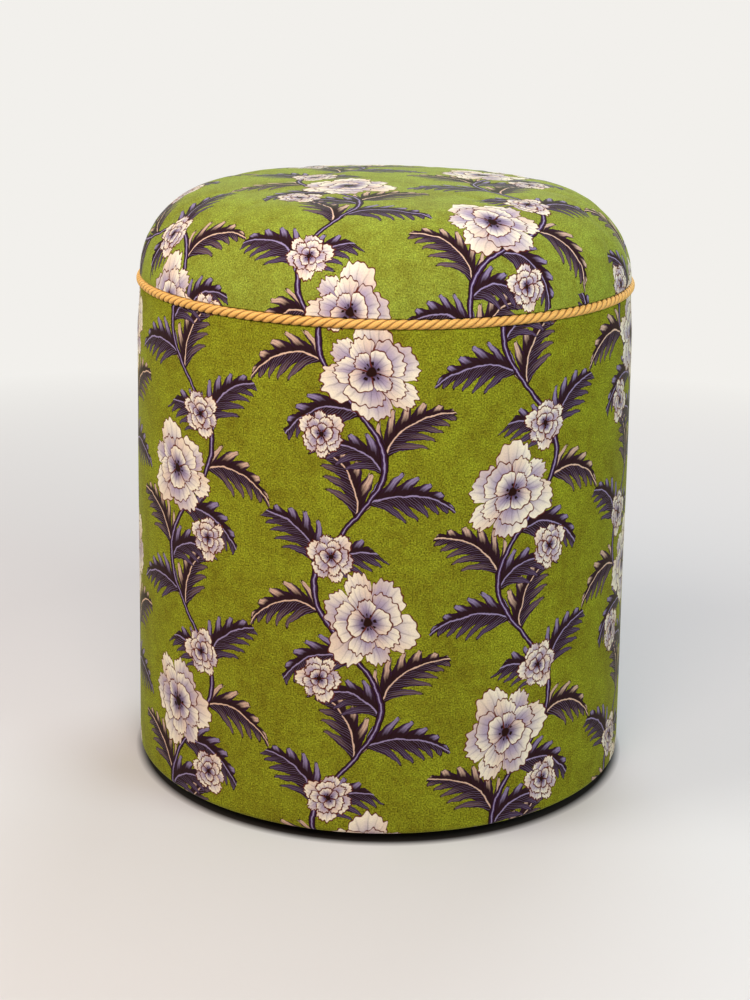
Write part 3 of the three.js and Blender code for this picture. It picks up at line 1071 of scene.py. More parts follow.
@dataclass
class DrumShape:
    """The outlines that the covers, the padding and the cord share, worked out from the CAD frame's boxes."""

    sheet: float = 1.2 * MM
    gap: float = 0.3 * MM
    shoulder_radius: float = 68.6 * MM
    shoulder_rise: float = 1.9 * MM
    waist_height: float = 40 * MM
    waist_depth: float = 2.1 * MM
    corner: float = 4 * MM
    tail_depth: float = 28 * MM
    fold_depth: float = 14 * MM
    lowest_bend: float = -0.2
    cord_radius: float = field(init=False)
    cord_height: float = field(init=False)
    ring_radius: float = field(init=False)
    wall_radius: float = field(init=False)
    wall_top: float = field(init=False)
    hem_low: float = field(init=False)
    dome_radius: float = field(init=False)
    dome_top: float = field(init=False)
    skin_radius: float = field(init=False)
    base_low: float = field(init=False)
    foot: float = field(init=False)
    shoulder: Point = field(init=False)
    crown: Point = field(init=False)
    crown_radius: float = field(init=False)
    meet: float = field(init=False)
    clear: float = field(init=False)
    fold_high: float = field(init=False)
    tail_radius: float = field(init=False)
    fold_radius: float = field(init=False)

    def __post_init__(self) -> None:
        """Read the sizes off the CAD nodes, and work out the dome's two arcs."""
        low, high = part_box("trim_cord")
        self.cord_radius = (high[2] - low[2]) / 2
        self.cord_height = low[2] + self.cord_radius
        self.ring_radius = high[0] - self.cord_radius
        low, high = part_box("side_cover")
        self.wall_radius, self.hem_low, self.wall_top = high[0], low[2], high[2]
        low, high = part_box("seat_cover")
        self.dome_radius, self.dome_top = high[0], high[2]
        self.skin_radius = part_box("drum_skin")[1][0]
        self.base_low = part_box("base_board")[0][2]
        self.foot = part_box("crown_pad")[0][2]
        self.shoulder = (self.dome_radius - self.shoulder_radius, self.cord_height + self.shoulder_rise)
        rise = self.dome_top - self.shoulder[1]
        span = self.shoulder[0] ** 2 + rise ** 2 - self.shoulder_radius ** 2
        self.crown_radius = span / (2 * (rise - self.shoulder_radius))
        self.crown = (0.0, self.dome_top - self.crown_radius)
        self.meet = math.atan2(self.shoulder[1] - self.crown[1], self.shoulder[0])
        self.clear = self.cord_radius + self.gap
        self.fold_high = self.cord_height + self.clear + self.sheet
        self.tail_radius = self.skin_radius + self.gap
        self.fold_radius = self.ring_radius - self.cord_radius

    def dome(self, depth: float, low: float, steps: int) -> Outline:
        """The dome's outline at a depth under its outer face, from the axis down to a height.

        Args:
            depth: The depth.
            low: The height that it ends at.
            steps: How many steps the crown has. The shoulder has twice as many.

        Returns:
            The outline.
        """
        crown = arc(self.crown, self.crown_radius - depth, math.pi / 2, self.meet, steps)
        drop = math.asin((low - self.shoulder[1]) / (self.shoulder_radius - depth))
        side = arc(self.shoulder, self.shoulder_radius - depth, self.meet, drop, steps * 2)
        return [(0.0, crown[0][1]), *crown[1:], *side[1:]]

    def wall(self, depth: float, low: float, high: float, steps: int) -> Outline:
        """The side wall at a depth under its outer face, from one height to a higher one, with its waist.

        Args:
            depth: The depth.
            low: The height that it starts at.
            high: The height that it ends at.
            steps: How many steps it has.

        Returns:
            The outline.
        """
        heights = [low + (high - low) * i / steps for i in range(steps + 1)]
        shares = [min((self.wall_top - h) / self.waist_height, 1.0) for h in heights]
        drawn_in = [self.waist_depth * (0.5 + 0.5 * math.cos(math.pi * s)) for s in shares]
        return [(self.wall_radius - d - depth, h) for d, h in zip(drawn_in, heights)]

    def hem_corner(self, depth: float, steps: int) -> Outline:
        """The rounded corner at the floor, at a depth under its outer face."""
        centre = (self.wall_radius - self.corner, self.hem_low + self.corner)
        return arc(centre, self.corner - depth, -math.pi / 2, 0.0, steps)

    def way_over_dome(self, flat: float, height: float) -> float:
        """How far it is over the dome from the crown to a point.

        Args:
            flat: The point's distance from the axis.
            height: Its height.

        Returns:
            The way's length.
        """
        if flat <= self.crown_radius * math.cos(self.meet):
            return self.crown_radius * math.asin(flat / self.crown_radius)
        bend = math.atan2(height - self.shoulder[1], flat - self.shoulder[0])
        crown = self.crown_radius * (math.pi / 2 - self.meet)
        return crown + self.shoulder_radius * (self.meet - max(bend, self.lowest_bend))


@dataclass
class SeatCover:
    """The domed seat: one round of velvet drawn over the pad, down past the cord and tucked in behind it."""

    shape: DrumShape
    sides: int = 288
    cloth_sides: int = 216
    rim_height: float = 5 * MM
    spare_share: float = 0.02
    frames: int = 24
    most_move: float = 0.9 * MM
    kept_share: float = 0.35
    stir_depth: float = 0.4 * MM
    stir_size: float = 16 * MM
    same_height: float = 0.05 * MM
    blend: float = 0.1 * MM
    softness: float = 0.7 * MM
    softness_size: float = 70 * MM
    gather_depth: float = 0.4 * MM
    gather_size: float = 13 * MM
    gather_fade: float = 14 * MM
    held_rise: float = 4 * MM
    lap_start: float = math.radians(84)
    lap_end: float = math.radians(150)
    stretch_share: float = 0.97

    def outline(self) -> Outline:
        """Draw the whole sheet's outline, outer face first.

        Returns:
            The outline.
        """
        s = self.shape
        over = arc((s.ring_radius, s.cord_height), s.clear, self.lap_start, self.lap_end, 6)
        inner, outer = s.tail_radius, s.tail_radius + s.sheet
        tail_low = s.cord_height - s.tail_depth
        return [
            *s.dome(0.0, s.cord_height + s.clear + s.sheet / 2, 18),
            *over,
            (outer, over[-1][1]),
            (outer, tail_low),
            (inner, tail_low),
            (inner, s.fold_high),
            *reversed(s.dome(s.sheet, s.fold_high, 9)),
        ]

    def hung(self) -> tuple[Object, list[Vector]]:
        """Hang a slightly roomy cloth over the pad, with its rim held at the cord and a soft push from below.

        Returns:
            The cloth, ready to settle, and its points before they were stirred.
        """
        rim = self.shape.cord_height + self.shape.clear
        cloth = model_turned("settling", self.shape.dome(0.0, rim, 14), self.cloth_sides, closed=False)
        start = [vertex.co.copy() for vertex in cloth.data.vertices]
        for vertex in cloth.data.vertices:
            stir = self.stir_depth * noise.noise(vertex.co / self.stir_size)
            vertex.co += vertex.co.normalized() * stir
        held = cloth.vertex_groups.new(name="rim")
        held.add([i for i, p in enumerate(start) if p.z < rim + self.rim_height], 1.0, "REPLACE")
        settling = cloth.modifiers.new("cloth", "CLOTH")
        set_up(
            settling.settings,
            vertex_group_mass="rim",
            quality=6,
            mass=0.25,
            tension_stiffness=12,
            compression_stiffness=12,
            shear_stiffness=6,
            bending_stiffness=0.3,
            shrink_min=-self.spare_share,
            use_pressure=True,
            uniform_pressure_force=4,
        )
        settling.settings.effector_weights.gravity = 0
        settling.collision_settings.use_collision = False
        settling.point_cache.frame_end = self.frames
        return cloth, start

    def settled(self) -> Callable[[Vector], Vector]:
        """Let the hung cloth settle, and keep only its unevenness.

        That is how far each point lies in or out of its ring's mean, within a limit. Blender settles the
        cloth a little differently each run.

        Returns:
            How far a point of the dome moves.
        """
        cloth, start = self.hung()
        for frame_number in range(1, self.frames + 1):
            bpy.context.scene.frame_set(frame_number)
        shaped = cloth.evaluated_get(bpy.context.evaluated_depsgraph_get()).data
        normals = [vertex.normal.copy() for vertex in cloth.data.vertices]
        moves = [(shaped.vertices[i].co - p).dot(n) for i, (p, n) in enumerate(zip(start, normals))]
        levels = [round(p.z / self.same_height) for p in start]
        rings: dict[int, list[float]] = {}
        for level, move in zip(levels, moves):
            rings.setdefault(level, []).append(move)
        tree = KDTree(len(start))
        for i, (p, level) in enumerate(zip(start, levels)):
            uneven = moves[i] - sum(rings[level]) / len(rings[level])
            moves[i] = max(-self.most_move, min(self.most_move, self.kept_share * uneven))
            tree.insert(p, i)
        tree.balance()
        log.info("settling: unevenness from %.2f to %.2f mm", min(moves) / MM, max(moves) / MM)
        bpy.context.scene.frame_set(1)
        bpy.data.objects.remove(cloth)

        def moved(point: Vector) -> Vector:
            """Take the mean of the three settled points nearest to a point.

            Args:
                point: A point of the dome.

            Returns:
                How far it moves.
            """
            near = tree.find_n(point, 3)
            weights = [1 / (distance + self.blend) for _, _, distance in near]
            share = sum(w * moves[i] for w, (_, i, _) in zip(weights, near)) / sum(weights)
            return normals[near[0][1]] * share

        return moved

    def build(self, velvet: Material) -> Object:
        """Model, settle and dress the seat cover.

        Args:
            velvet: The printed velvet.

        Returns:
            The piece.
        """
        moved = self.settled()
        s = self.shape
        piece = model_turned("seat_cover_velvet", self.outline(), self.sides)

        def on_cloth(point: Vector) -> Point:
            """Find a point on the cloth.

            Args:
                point: A point of the dome.

            Returns:
                Its place in millimetres from the crown.
            """
            flat = math.hypot(point.x, point.y)
            share = s.way_over_dome(flat, point.z) / max(flat, MM) / MM
            return point.x * share, point.y * share

        def pressed(point: Vector) -> Vector:
            """Press a point as the settling does, fading out just above the cord.

            Args:
                point: A point of the dome.

            Returns:
                Where it goes.
            """
            rise = point.z - s.cord_height - s.clear
            return point + moved(point) * min(max(rise / self.held_rise, 0.0), 1.0)

        lay_cloth(piece, on_cloth)
        reshape(piece, pressed)
        dress(piece, velvet, Slot.VELVET, "seat_cover")
        reach = s.way_over_dome(s.dome_radius, s.cord_height) + s.tail_depth
        cut = self.stretch_share * reach
        2 * cut
        2 * cut
        math.pi * cut ** 2
        return piece


@dataclass
class SideCover:
    """The velvet round the drum: pulled in under the cord, seamed at the back, turned under at the floor."""

    shape: DrumShape
    sides: int = 288
    hem_width: float = 46 * MM
    gather_depth: float = 0.5 * MM
    gather_size: float = 11 * MM
    gather_fade: float = 16 * MM
    held_drop: float = 3 * MM
    softness: float = 0.3 * MM
    softness_size: float = 90 * MM
    seam_depth: float = 1.1 * MM
    seam_width: float = 1.2 * MM
    seam_allowance: float = 20 * MM
    seam_cuts: int = 5
    lip_height: float = 0.7 * MM
    lip_place: float = 3.5 * MM
    lip_width: float = 2.5 * MM
    seam_reach: float = 12 * MM
    pleat_depth: float = 0.7 * MM
    pleat_reach: float = 17 * MM
    pleat_start: float = 5 * MM
    pleat_wander: float = 2.5
    pleats: int = 64

    def outline(self) -> Outline:
        """Draw the whole sheet's outline: hem, corner, wall, the fold under the cord, and back inside.

        Returns:
            The outline.
        """
        s = self.shape
        hem = s.wall_radius - self.hem_width
        corner_start = s.wall_radius - s.corner
        hems = [(hem + (corner_start - hem) * i / 8, s.hem_low) for i in range(8)]
        lip = s.wall_top - s.sheet
        low = s.hem_low + s.corner
        inner, outer = s.fold_radius, s.fold_radius + s.sheet
        shoulder = (s.wall_radius - s.waist_depth - s.sheet, lip)
        return [
            *hems,
            *s.hem_corner(0.0, 6),
            *s.wall(0.0, low, lip, 52)[1:],
            *arc(shoulder, s.sheet, 0.0, math.pi / 2, 4)[1:],
            (inner, s.wall_top),
            (inner, s.wall_top - s.fold_depth),
            (outer, s.wall_top - s.fold_depth),
            (outer, lip),
            *reversed(s.wall(s.sheet, low, lip, 18)[1:]),
            *reversed(s.hem_corner(s.sheet, 3)),
            *[(r, s.hem_low + s.sheet) for r, _ in reversed(hems)],
        ]

    def press(self, point: Vector) -> Vector:
        """Give the wall its gathers under the cord, its seam at the back and the hem's small pleats.

        Args:
            point: A place on the plain cover.

        Returns:
            Where it goes.
        """
        s = self.shape
        out = Vector((point.x, point.y, 0.0)).normalized()
        turn = math.atan2(point.x, -point.y)
        flat = math.hypot(point.x, point.y)
        hem_edge = s.wall_radius - s.corner
        if point.z < s.hem_low + 1.5 * s.sheet and flat < hem_edge:
            share = min((hem_edge - flat) / self.pleat_start, 1.0)
            share *= flat > s.wall_radius - self.pleat_reach
            wander = self.pleat_wander * noise.noise(out * 5)
            fold = abs(math.sin(turn * self.pleats / 2 + wander)) ** 3
            return point - Vector((0, 0, self.pleat_depth * share * fold))
        drop = s.wall_top - point.z
        gather = noise.noise(out * (s.wall_radius / self.gather_size)) * self.gather_depth
        gather *= math.exp(-drop / self.gather_fade) * min(max(drop / self.held_drop, 0.0), 1.0)
        away = (math.pi - abs(turn)) * s.wall_radius
        seam = self.seam_depth * math.exp(-((away / self.seam_width) ** 2))
        lips = self.lip_height * math.exp(-(((away - self.lip_place) / self.lip_width) ** 2))
        slow = self.softness * noise.noise(point / self.softness_size)
        return point + out * (gather + slow + lips - seam)

    def on_cloth(self, point: Vector) -> Point:
        """Find a point on the cloth.

        Args:
            point: A point of the cover.

        Returns:
            Its place in millimetres, from the front and up from the floor's edge.
        """
        s = self.shape
        turn = math.atan2(point.x, -point.y)
        under = s.wall_radius - math.hypot(point.x, point.y) if point.z < s.hem_low + s.corner else 0.0
        return turn * s.wall_radius / MM, (point.z - under) / MM

    def build(self, velvet: Material) -> Object:
        """Model and dress the side cover.

        Args:
            velvet: The printed velvet.

        Returns:
            The piece.
        """
        s = self.shape
        piece = model_turned("side_cover_velvet", self.outline(), self.sides)
        cut_glide_holes(piece)

        def at_seam(a: Vector, b: Vector) -> bool:
            """Tell whether an edge crosses the wall near the seam.

            Args:
                a: One end.
                b: The other end.

            Returns:
                Whether it does.
            """
            near = max(abs(a.x), abs(b.x)) < self.seam_reach
            return near and min(a.y, b.y) > 0 and abs(a.x - b.x) > MM

        select_edges(piece, at_seam)
        bpy.ops.mesh.subdivide(number_cuts=self.seam_cuts)
        bpy.ops.object.mode_set(mode="OBJECT")
        lay_cloth(piece, self.on_cloth, TURN * s.wall_radius / MM)
        reshape(piece, self.press)
        dress(piece, velvet, Slot.VELVET, "side_cover")
        return piece


@dataclass
class TrimCord:
    """The cord laid in the joint: three strands twisted right over left, bent round, joined at the back."""

    shape: DrumShape
    strands: int = 3
    turns: int = 54
    steps: int = 16
    strand_sides: int = 14
    strand_share: float = 0.55
    strand_stretch: float = 1.15
    weld: float = 10 * WELD
    smooth_angle: float = math.radians(60)

    def build(self, finish: Material) -> Object:
        """Model one turn of the twisted strands, repeat it, and bend it round the drum.

        Args:
            finish: The cord's material.

        Returns:
            The piece.
        """
        deselect_all()
        whole = TURN * self.shape.ring_radius
        pitch = whole / self.turns
        strand = self.shape.cord_radius * self.strand_share
        offset = self.shape.cord_radius - strand
        rings = []
        for number in range(self.strands):
            turn = TURN * number / self.strands
            bpy.ops.mesh.primitive_circle_add(
                vertices=self.strand_sides,
                radius=strand,
                location=(0, offset * math.cos(turn), offset * math.sin(turn)),
                rotation=(turn, 0, 0),
            )
            rings.append(bpy.context.active_object)
            reshape(rings[-1], lambda p: Vector((0.0, p.x, p.y * self.strand_stretch)))
        piece = joined("trim_cord_twisted", rings)
        bpy.ops.object.transform_apply(location=True, rotation=True, scale=True)
        twist = {"axis": "X", "angle": TURN, "screw_offset": pitch}
        modify(piece, "SCREW", **twist, steps=self.steps, render_steps=self.steps)
        spacing = {"use_relative_offset": False, "use_constant_offset": True}
        merging = {"use_merge_vertices": True, "merge_threshold": self.weld}
        place = (pitch, 0, 0)
        modify(piece, "ARRAY", count=self.turns, constant_offset_displace=place, **spacing, **merging)
        self.lay_strands(piece, pitch, offset)
        self.bend_round(piece, whole)
        return dress(piece, finish, Slot.CORD, "trim_cord")

    def lay_strands(self, piece: Object, pitch: float, offset: float) -> None:
        """Map each strand: millimetres along the cord, and turns round the strand's own middle.

        Args:
            piece: The straight cord, along X.
            pitch: The length of one twist.
            offset: How far a strand's middle lies from the cord's.
        """
        mesh = piece.data
        layer = mesh.uv_layers.new(name=LAY_MAP)
        spread = TURN / self.strands
        for face in mesh.polygons:
            points = [mesh.vertices[i].co for i in face.vertices]
            middle = sum(points, Vector()) / len(points)
            number = round((math.atan2(middle.z, middle.y) - TURN * middle.x / pitch) / spread)
            around = []
            for point in points:
                turn = TURN * point.x / pitch + number * spread
                y, z = point.y - offset * math.cos(turn), point.z - offset * math.sin(turn)
                around.append(math.atan2(z, y) - turn)
            for loop, point, angle in zip(face.loop_indices, points, around):
                near = angle - TURN * round((angle - around[0]) / TURN)
                layer.data[loop].uv = (point.x / MM, near / TURN)

    def bend_round(self, piece: Object, whole: float) -> None:
        """Bend the straight cord into the ring, and join its ends.

        Args:
            piece: The straight cord, along X.
            whole: Its length.
        """
        ring, height = self.shape.ring_radius, self.shape.cord_height

        def bent(point: Vector) -> Vector:
            """Bend one point.

            Args:
                point: A point of the straight cord.

            Returns:
                Where it goes.
            """
            turn = math.pi / 2 + TURN * point.x / whole
            out = ring + point.y
            return Vector((out * math.cos(turn), out * math.sin(turn), height + point.z))

        reshape(piece, bent)
        bpy.ops.object.mode_set(mode="EDIT")
        bpy.ops.mesh.select_all(action="SELECT")
        bpy.ops.mesh.remove_doubles(threshold=self.weld)
        bpy.ops.mesh.normals_make_consistent(inside=False)
        bpy.ops.object.mode_set(mode="OBJECT")
        bpy.ops.object.shade_smooth_by_angle(angle=self.smooth_angle)


@dataclass
class Padding:
    """What the covers are drawn over: crown pad, seat foam, wadding and wall foam, and the cord's tape."""

    shape: DrumShape
    sides: int = 144
    wadding: float = 6 * MM
    pad_radius: float = 120 * MM
    pad_height: float = 12 * MM
    pad_shares: tuple[Point, ...] = ((0, 1), (0.55, 0.86), (0.88, 0.42), (1, 0.12))
    tape_rise: float = 1.6 * MM
    tape_width: float = 16 * MM
    seam: tuple[float, float, float] = (0.8 * MM, 40 * MM, 500 * MM)
    seam_middle: float = 200 * MM
    unevenness: float = 0.1 * MM
    unevenness_size: float = 9 * MM

    def pad_outline(self, grow: float) -> Outline:
        """The crown pad's top, or the hollow over it where it is grown.

        Args:
            grow: How much larger than the pad.

        Returns:
            The outline, from the axis outwards.
        """
        radius, height = self.pad_radius + grow, self.pad_height + grow
        corners = [(radius * across, self.shape.foot + height * up) for across, up in self.pad_shares]
        steps = [i / 6 for i in range(6)]
        fine = [
            (r + (farther - r) * step, z + (lower - z) * step)
            for (r, z), (farther, lower) in pairwise(corners)
            for step in steps
        ]
        return [*fine, corners[-1]]

    def wrap_outline(self) -> Outline:
        """Draw the wall's foam: rounded at the floor, and stepped in behind the tape and the seat's tail.

        Returns:
            The outline.
        """
        s = self.shape
        depth = s.sheet + s.gap
        tape = s.tail_radius + s.sheet + s.gap
        top = s.wall_top - s.fold_depth - s.gap
        step = s.cord_height - s.tail_depth - s.gap
        return [
            *s.hem_corner(depth, 5),
            *s.wall(depth, s.hem_low + s.corner, top, 24)[1:],
            (tape, top),
            (tape, step),
            (s.tail_radius, step),
            (s.tail_radius, s.base_low),
        ]

    def soften(self, piece: Object) -> None:
        """Give a cut piece of padding the faint unevenness of its surface."""
        every_way = Vector((1, 1, 1)) * self.unevenness
        reshape(piece, lambda p: p + every_way * noise.noise(p / self.unevenness_size))

    def build(self, foam: Material, fleece: Material, tape: Material) -> None:
        """Model and dress the padding.

        Args:
            foam: The cut foam.
            fleece: The wadding.
            tape: The woven tape.
        """
        s = self.shape
        depth = s.sheet + s.gap
        foot = s.foot
        pad = self.pad_outline(0.0)
        hollow = self.pad_outline(s.gap)
        under = depth + self.wadding + s.gap
        outlines = {
            "crown_pad": [*pad, (pad[-1][0], foot), (0.0, foot)],
            "seat_foam": [*s.dome(under, foot, 12), (hollow[-1][0], foot), *reversed(hollow)],
        }
        for node, outline in outlines.items():
            piece = model_turned(f"{node}_cut", outline, self.sides)
            self.soften(piece)
            dress(piece, foam, Slot.FOAM, node)
        low = s.fold_high + s.gap
        inner = s.dome(depth + self.wadding, low, 12)
        layer = model_turned("seat_wadding_layer", [*s.dome(depth, low, 12), *reversed(inner)], self.sides)
        self.soften(layer)
        dress(layer, fleece, Slot.WADDING, "seat_wadding")
        wrap = model_turned("side_wrap_foam_sheet", self.wrap_outline(), self.sides)
        cut_away(wrap, block(self.seam, (0, s.wall_radius, self.seam_middle)))
        self.soften(wrap)
        dress(wrap, foam, Slot.FOAM, "side_wrap_foam")
        inside, high = s.tail_radius + s.sheet + s.gap, s.cord_height + self.tape_rise
        band = [(inside, high - self.tape_width), (inside + s.sheet, high - self.tape_width)]
        band = [*band, (inside + s.sheet, high), (inside, high)]
        flange = model_turned("cord_flange_tape", band, self.sides * 2)
        dress(flange, tape, Slot.TAPE, "cord_flange")
        around = TURN * (inside + s.sheet / 2)


@dataclass
class Underside:
    """The dust cloth stapled under the base with its edge folded in, and four glides with their screws."""

    shape: DrumShape
    glide_radius: float = 12 * MM
    glide_height: float = 5 * MM
    glide_round: float = 1.4 * MM
    glide_bevel: float = 0.25 * MM
    head_radius: float = 4 * MM
    head_height: float = 1.8 * MM
    head_dome: float = 0.9 * MM
    head_low: float = 0.8 * MM
    cross: tuple[float, float, float] = (4.4 * MM, 0.9 * MM, 2.2 * MM)
    shank_radius: float = 1.75 * MM
    screw_length: float = 15 * MM
    neck_length: float = 1.5 * MM
    neck_share: float = 0.9
    point_length: float = 2.5 * MM
    point_share: float = 0.7
    thread_pitch: float = 1.3 * MM
    thread_root: float = 0.78
    spread_turn: float = 0.4
    cloth: float = 0.3 * MM
    cloth_fold: float = 12 * MM
    cloth_edge: float = 0.35 * MM
    cloth_gap: float = 0.1 * MM
    cloth_slack: float = 0.05 * MM
    staple_count: int = 36
    staple_size: tuple[float, float, float] = (11 * MM, 1.2 * MM, 0.5 * MM)
    staple_round: float = 0.2 * MM
    staple_inset: float = 6 * MM
    staple_clear: float = 9 * MM
    staple_slant: float = 0.12
    staple_slant_size: float = 7 * MM

    def glide_outline(self) -> Outline:
        """Draw a glide: a rounded foot, a sunk seat for the screw's head and a hole for its shank.

        Returns:
            The outline.
        """
        r, h, gap = self.glide_radius, self.glide_height, self.shape.gap
        hole, head = self.shank_radius + gap, self.head_radius + gap
        seat = self.head_low + self.head_height + gap
        foot = arc((r - self.glide_round, self.glide_round), self.glide_round, -math.pi / 2, 0.0, 6)
        bevel = self.glide_bevel
        bore = [(hole, h), (hole, seat), (head, seat), (head, bevel)]
        return [(head + bevel, 0.0), *foot, (r, h - bevel), (r - bevel, h), *bore]

    def screw_outline(self) -> Outline:
        """Draw a glide screw: a low domed head, a plain neck and a threaded shank with a point.

        Returns:
            The outline.
        """
        head, low, top = self.head_radius, self.head_low, self.head_low + self.head_height
        angles = (0, 0.3, 0.6, 0.9, 1.2, math.pi / 2)
        dome = [(head * math.sin(a), low + self.head_dome * (1 - math.cos(a))) for a in angles]
        thread: Outline = []
        height = top + self.neck_length
        while height < self.screw_length - self.point_length:
            thread.append((self.shank_radius * self.thread_root, height))
            thread.append((self.shank_radius, height + self.thread_pitch / 2))
            height += self.thread_pitch
        neck, point = self.shank_radius * self.neck_share, self.shank_radius * self.point_share
        tip = (0.0, low + self.screw_length)
        return [*dome, (head, top), (neck, top), *thread, (point, height), tip]

    def build_cloth(self, finish: Material) -> None:
        """Model the dust cloth: a thin round whose edge is folded under.

        Args:
            finish: The cloth's finish.
        """
        _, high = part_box("dust_cover")
        radius, top = high[0], high[2] - self.cloth_slack
        edge, fold = radius - self.cloth_edge, radius - self.cloth_fold
        ply = top - self.cloth
        tuck = ply - self.cloth_gap
        rings = [radius * share for share in (0.3, 0.6, 0.85)]
        outline = [
            (0.0, ply),
            *[(ring, ply) for ring in rings],
            (edge, ply),
            (edge + self.cloth_slack, (ply + tuck) / 2),
            (edge, tuck),
            (fold, tuck),
            (fold, tuck - self.cloth),
            (edge, tuck - self.cloth),
            (radius, tuck),
            (edge, top),
            *[(ring, top) for ring in reversed(rings)],
            (0.0, top),
        ]
        piece = model_turned("dust_cover_cloth", outline, 192)
        cut_glide_holes(piece)
        dress(piece, finish, Slot.DUST_CLOTH, "dust_cover")

    def build_staples(self, finish: Material) -> None:
        """Model one staple's crown with its bent shoulders, and copy it round the cloth's edge.

        Args:
            finish: The staples' finish.
        """
        low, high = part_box("dust_cover")
        ring = high[0] - self.staple_inset
        middles = stands("glide")
        first = block(self.staple_size)
        modify(first, "BEVEL", width=self.staple_round, segments=2)
        copies = []
        for number in range(self.staple_count):
            turn = TURN * (number + 0.5) / self.staple_count
            place = Vector((ring * math.cos(turn), ring * math.sin(turn), 0.0))
            near = min((place - middle).length for middle in middles)
            if near < self.glide_radius + self.staple_clear:
                continue
            slant = turn + math.pi / 2 + self.staple_slant * noise.noise(place / self.staple_slant_size)
            place.z = low[2] - self.staple_size[2] / 2
            copies.append(copied(first, Matrix.Translation(place) @ Matrix.Rotation(slant, 4, "Z")))
        bpy.data.objects.remove(first)
        dress(joined("dust_cover_staples", copies), finish, Slot.STEEL)

    def build(self, cloth: Material, nylon: Material, steel: Material) -> None:
        """Model and dress the underside.

        Args:
            cloth: The dust cloth's finish.
            nylon: The glides' finish.
            steel: The screws' and staples' finish.
        """
        self.build_cloth(cloth)
        self.build_staples(steel)
        glide = model_turned("glide", self.glide_outline(), 64)
        screw = model_turned("screw", self.screw_outline(), 32)
        for turn in (0.0, math.pi / 2):
            cut_away(screw, block(self.cross, (0, 0, self.head_low), turn))
        sorts = (
            (glide, "glide", "moulded", nylon, Slot.NYLON),
            (screw, "glide_screw", "turned", steel, Slot.STEEL),
        )
        for number, middle in enumerate(stands("glide"), 1):
            turn = math.atan2(middle.y, middle.x) + self.spread_turn * number
            place = Matrix.Translation(middle) @ Matrix.Rotation(turn, 4, "Z")
            for source, node, end, finish, slot in sorts:
                copy = copied(source, place)
                copy.name = copy.data.name = f"{node}_{number}_{end}"
                dress(copy, finish, slot, f"{node}_{number}")
        for source in (glide, screw):
            bpy.data.objects.remove(source)


@dataclass
class Frame:
    """The carried-over CAD pieces, which get their finishes in place."""

    finishes: dict[Slot, Grained] = field(
        default_factory=lambda: {
            Slot.PLYWOOD: BIRCH_PLYWOOD,
            Slot.SOFTWOOD: PLANED_PINE,
            Slot.FOAM: CUT_FOAM,
            Slot.WADDING: CARDED_WADDING,
            Slot.TAPE: WOVEN_TAPE,
            Slot.CARD: ROLLED_CARD,
            Slot.DUST_CLOTH: SPUNBONDED_CLOTH,
            Slot.NYLON: MOULDED_NYLON,
            Slot.STEEL: PLATED_STEEL,
        }
    )

    def build(self) -> dict[Slot, Material]:
        """Dress every CAD node in the finish of its slot. The velvet and the cord are only on new pieces.

        Returns:
            The materials by slot.
        """
        made = {slot: finish.material() for slot, finish in self.finishes.items()}
        rows = [row for row in frame["record"]["subparts"] if Slot(row["material_slot"]) in made]
        for row in rows:
            for held in frame["nodes"][row["node"]].material_slots:
                held.material = made[Slot(row["material_slot"])]
        log.info("frame: %d nodes dressed", len(rows))
        return made


# Studio


@dataclass(frozen=True)
class Camera:
    """The photograph's viewpoint: a long lens above the seat, looking down at the drum.

    Angles are in degrees. The drum's sides stand nearly upright in the picture, so the lens is shifted a
    little.
    """

    distance: float = 1.4812
    height: float = 0.6423
    pitch: float = 10.893
    yaw: float = -0.302
    roll: float = 0.853
    focal_px: float = 1953.4
    shift: float = -0.2
    frame_px: float = 1000.0
    sensor_mm: float = 36.0

    def build(self) -> Object:
        """Set up the camera.

        Returns:
            The camera.
        """
        data = bpy.data.cameras.new("camera")
        lens = self.focal_px * self.sensor_mm / self.frame_px
        set_up(data, sensor_width=self.sensor_mm, lens=lens, shift_y=self.shift)
        camera = bpy.data.objects.new("camera", data)
        bpy.context.scene.collection.objects.link(camera)
        yaw, pitch = math.radians(self.yaw), math.radians(self.pitch)
        flat = math.cos(pitch)
        ahead = Vector((math.sin(yaw) * flat, math.cos(yaw) * flat, -math.sin(pitch)))
        right = Vector((math.cos(yaw), -math.sin(yaw), 0.0))
        up = right.cross(ahead)
        turn = Quaternion(ahead, -math.radians(self.roll))
        right, up = turn @ right, turn @ up
        axes = Matrix((right, up, -ahead)).transposed()
        camera.matrix_world = Matrix.Translation((0.0, -self.distance, self.height)) @ axes.to_4x4()
        bpy.context.scene.camera = camera
        return camera


def seen_directly(tree: NodeTree) -> Field:
    """Tell what is seen from the light that a surface passes on.

    Args:
        tree: The tree that needs to know.

    Returns:
        1 for what the camera, a mirror or glass shows, and 0 for the rest.
    """
    ray = add_node(tree, "ShaderNodeLightPath")
    kinds = ("Camera", "Glossy", "Transmission")
    camera, mirror, glass = (Field(ray.outputs[f"Is {kind} Ray"]) for kind in kinds)
    return camera.through("MAXIMUM", mirror).through("MAXIMUM", glass)


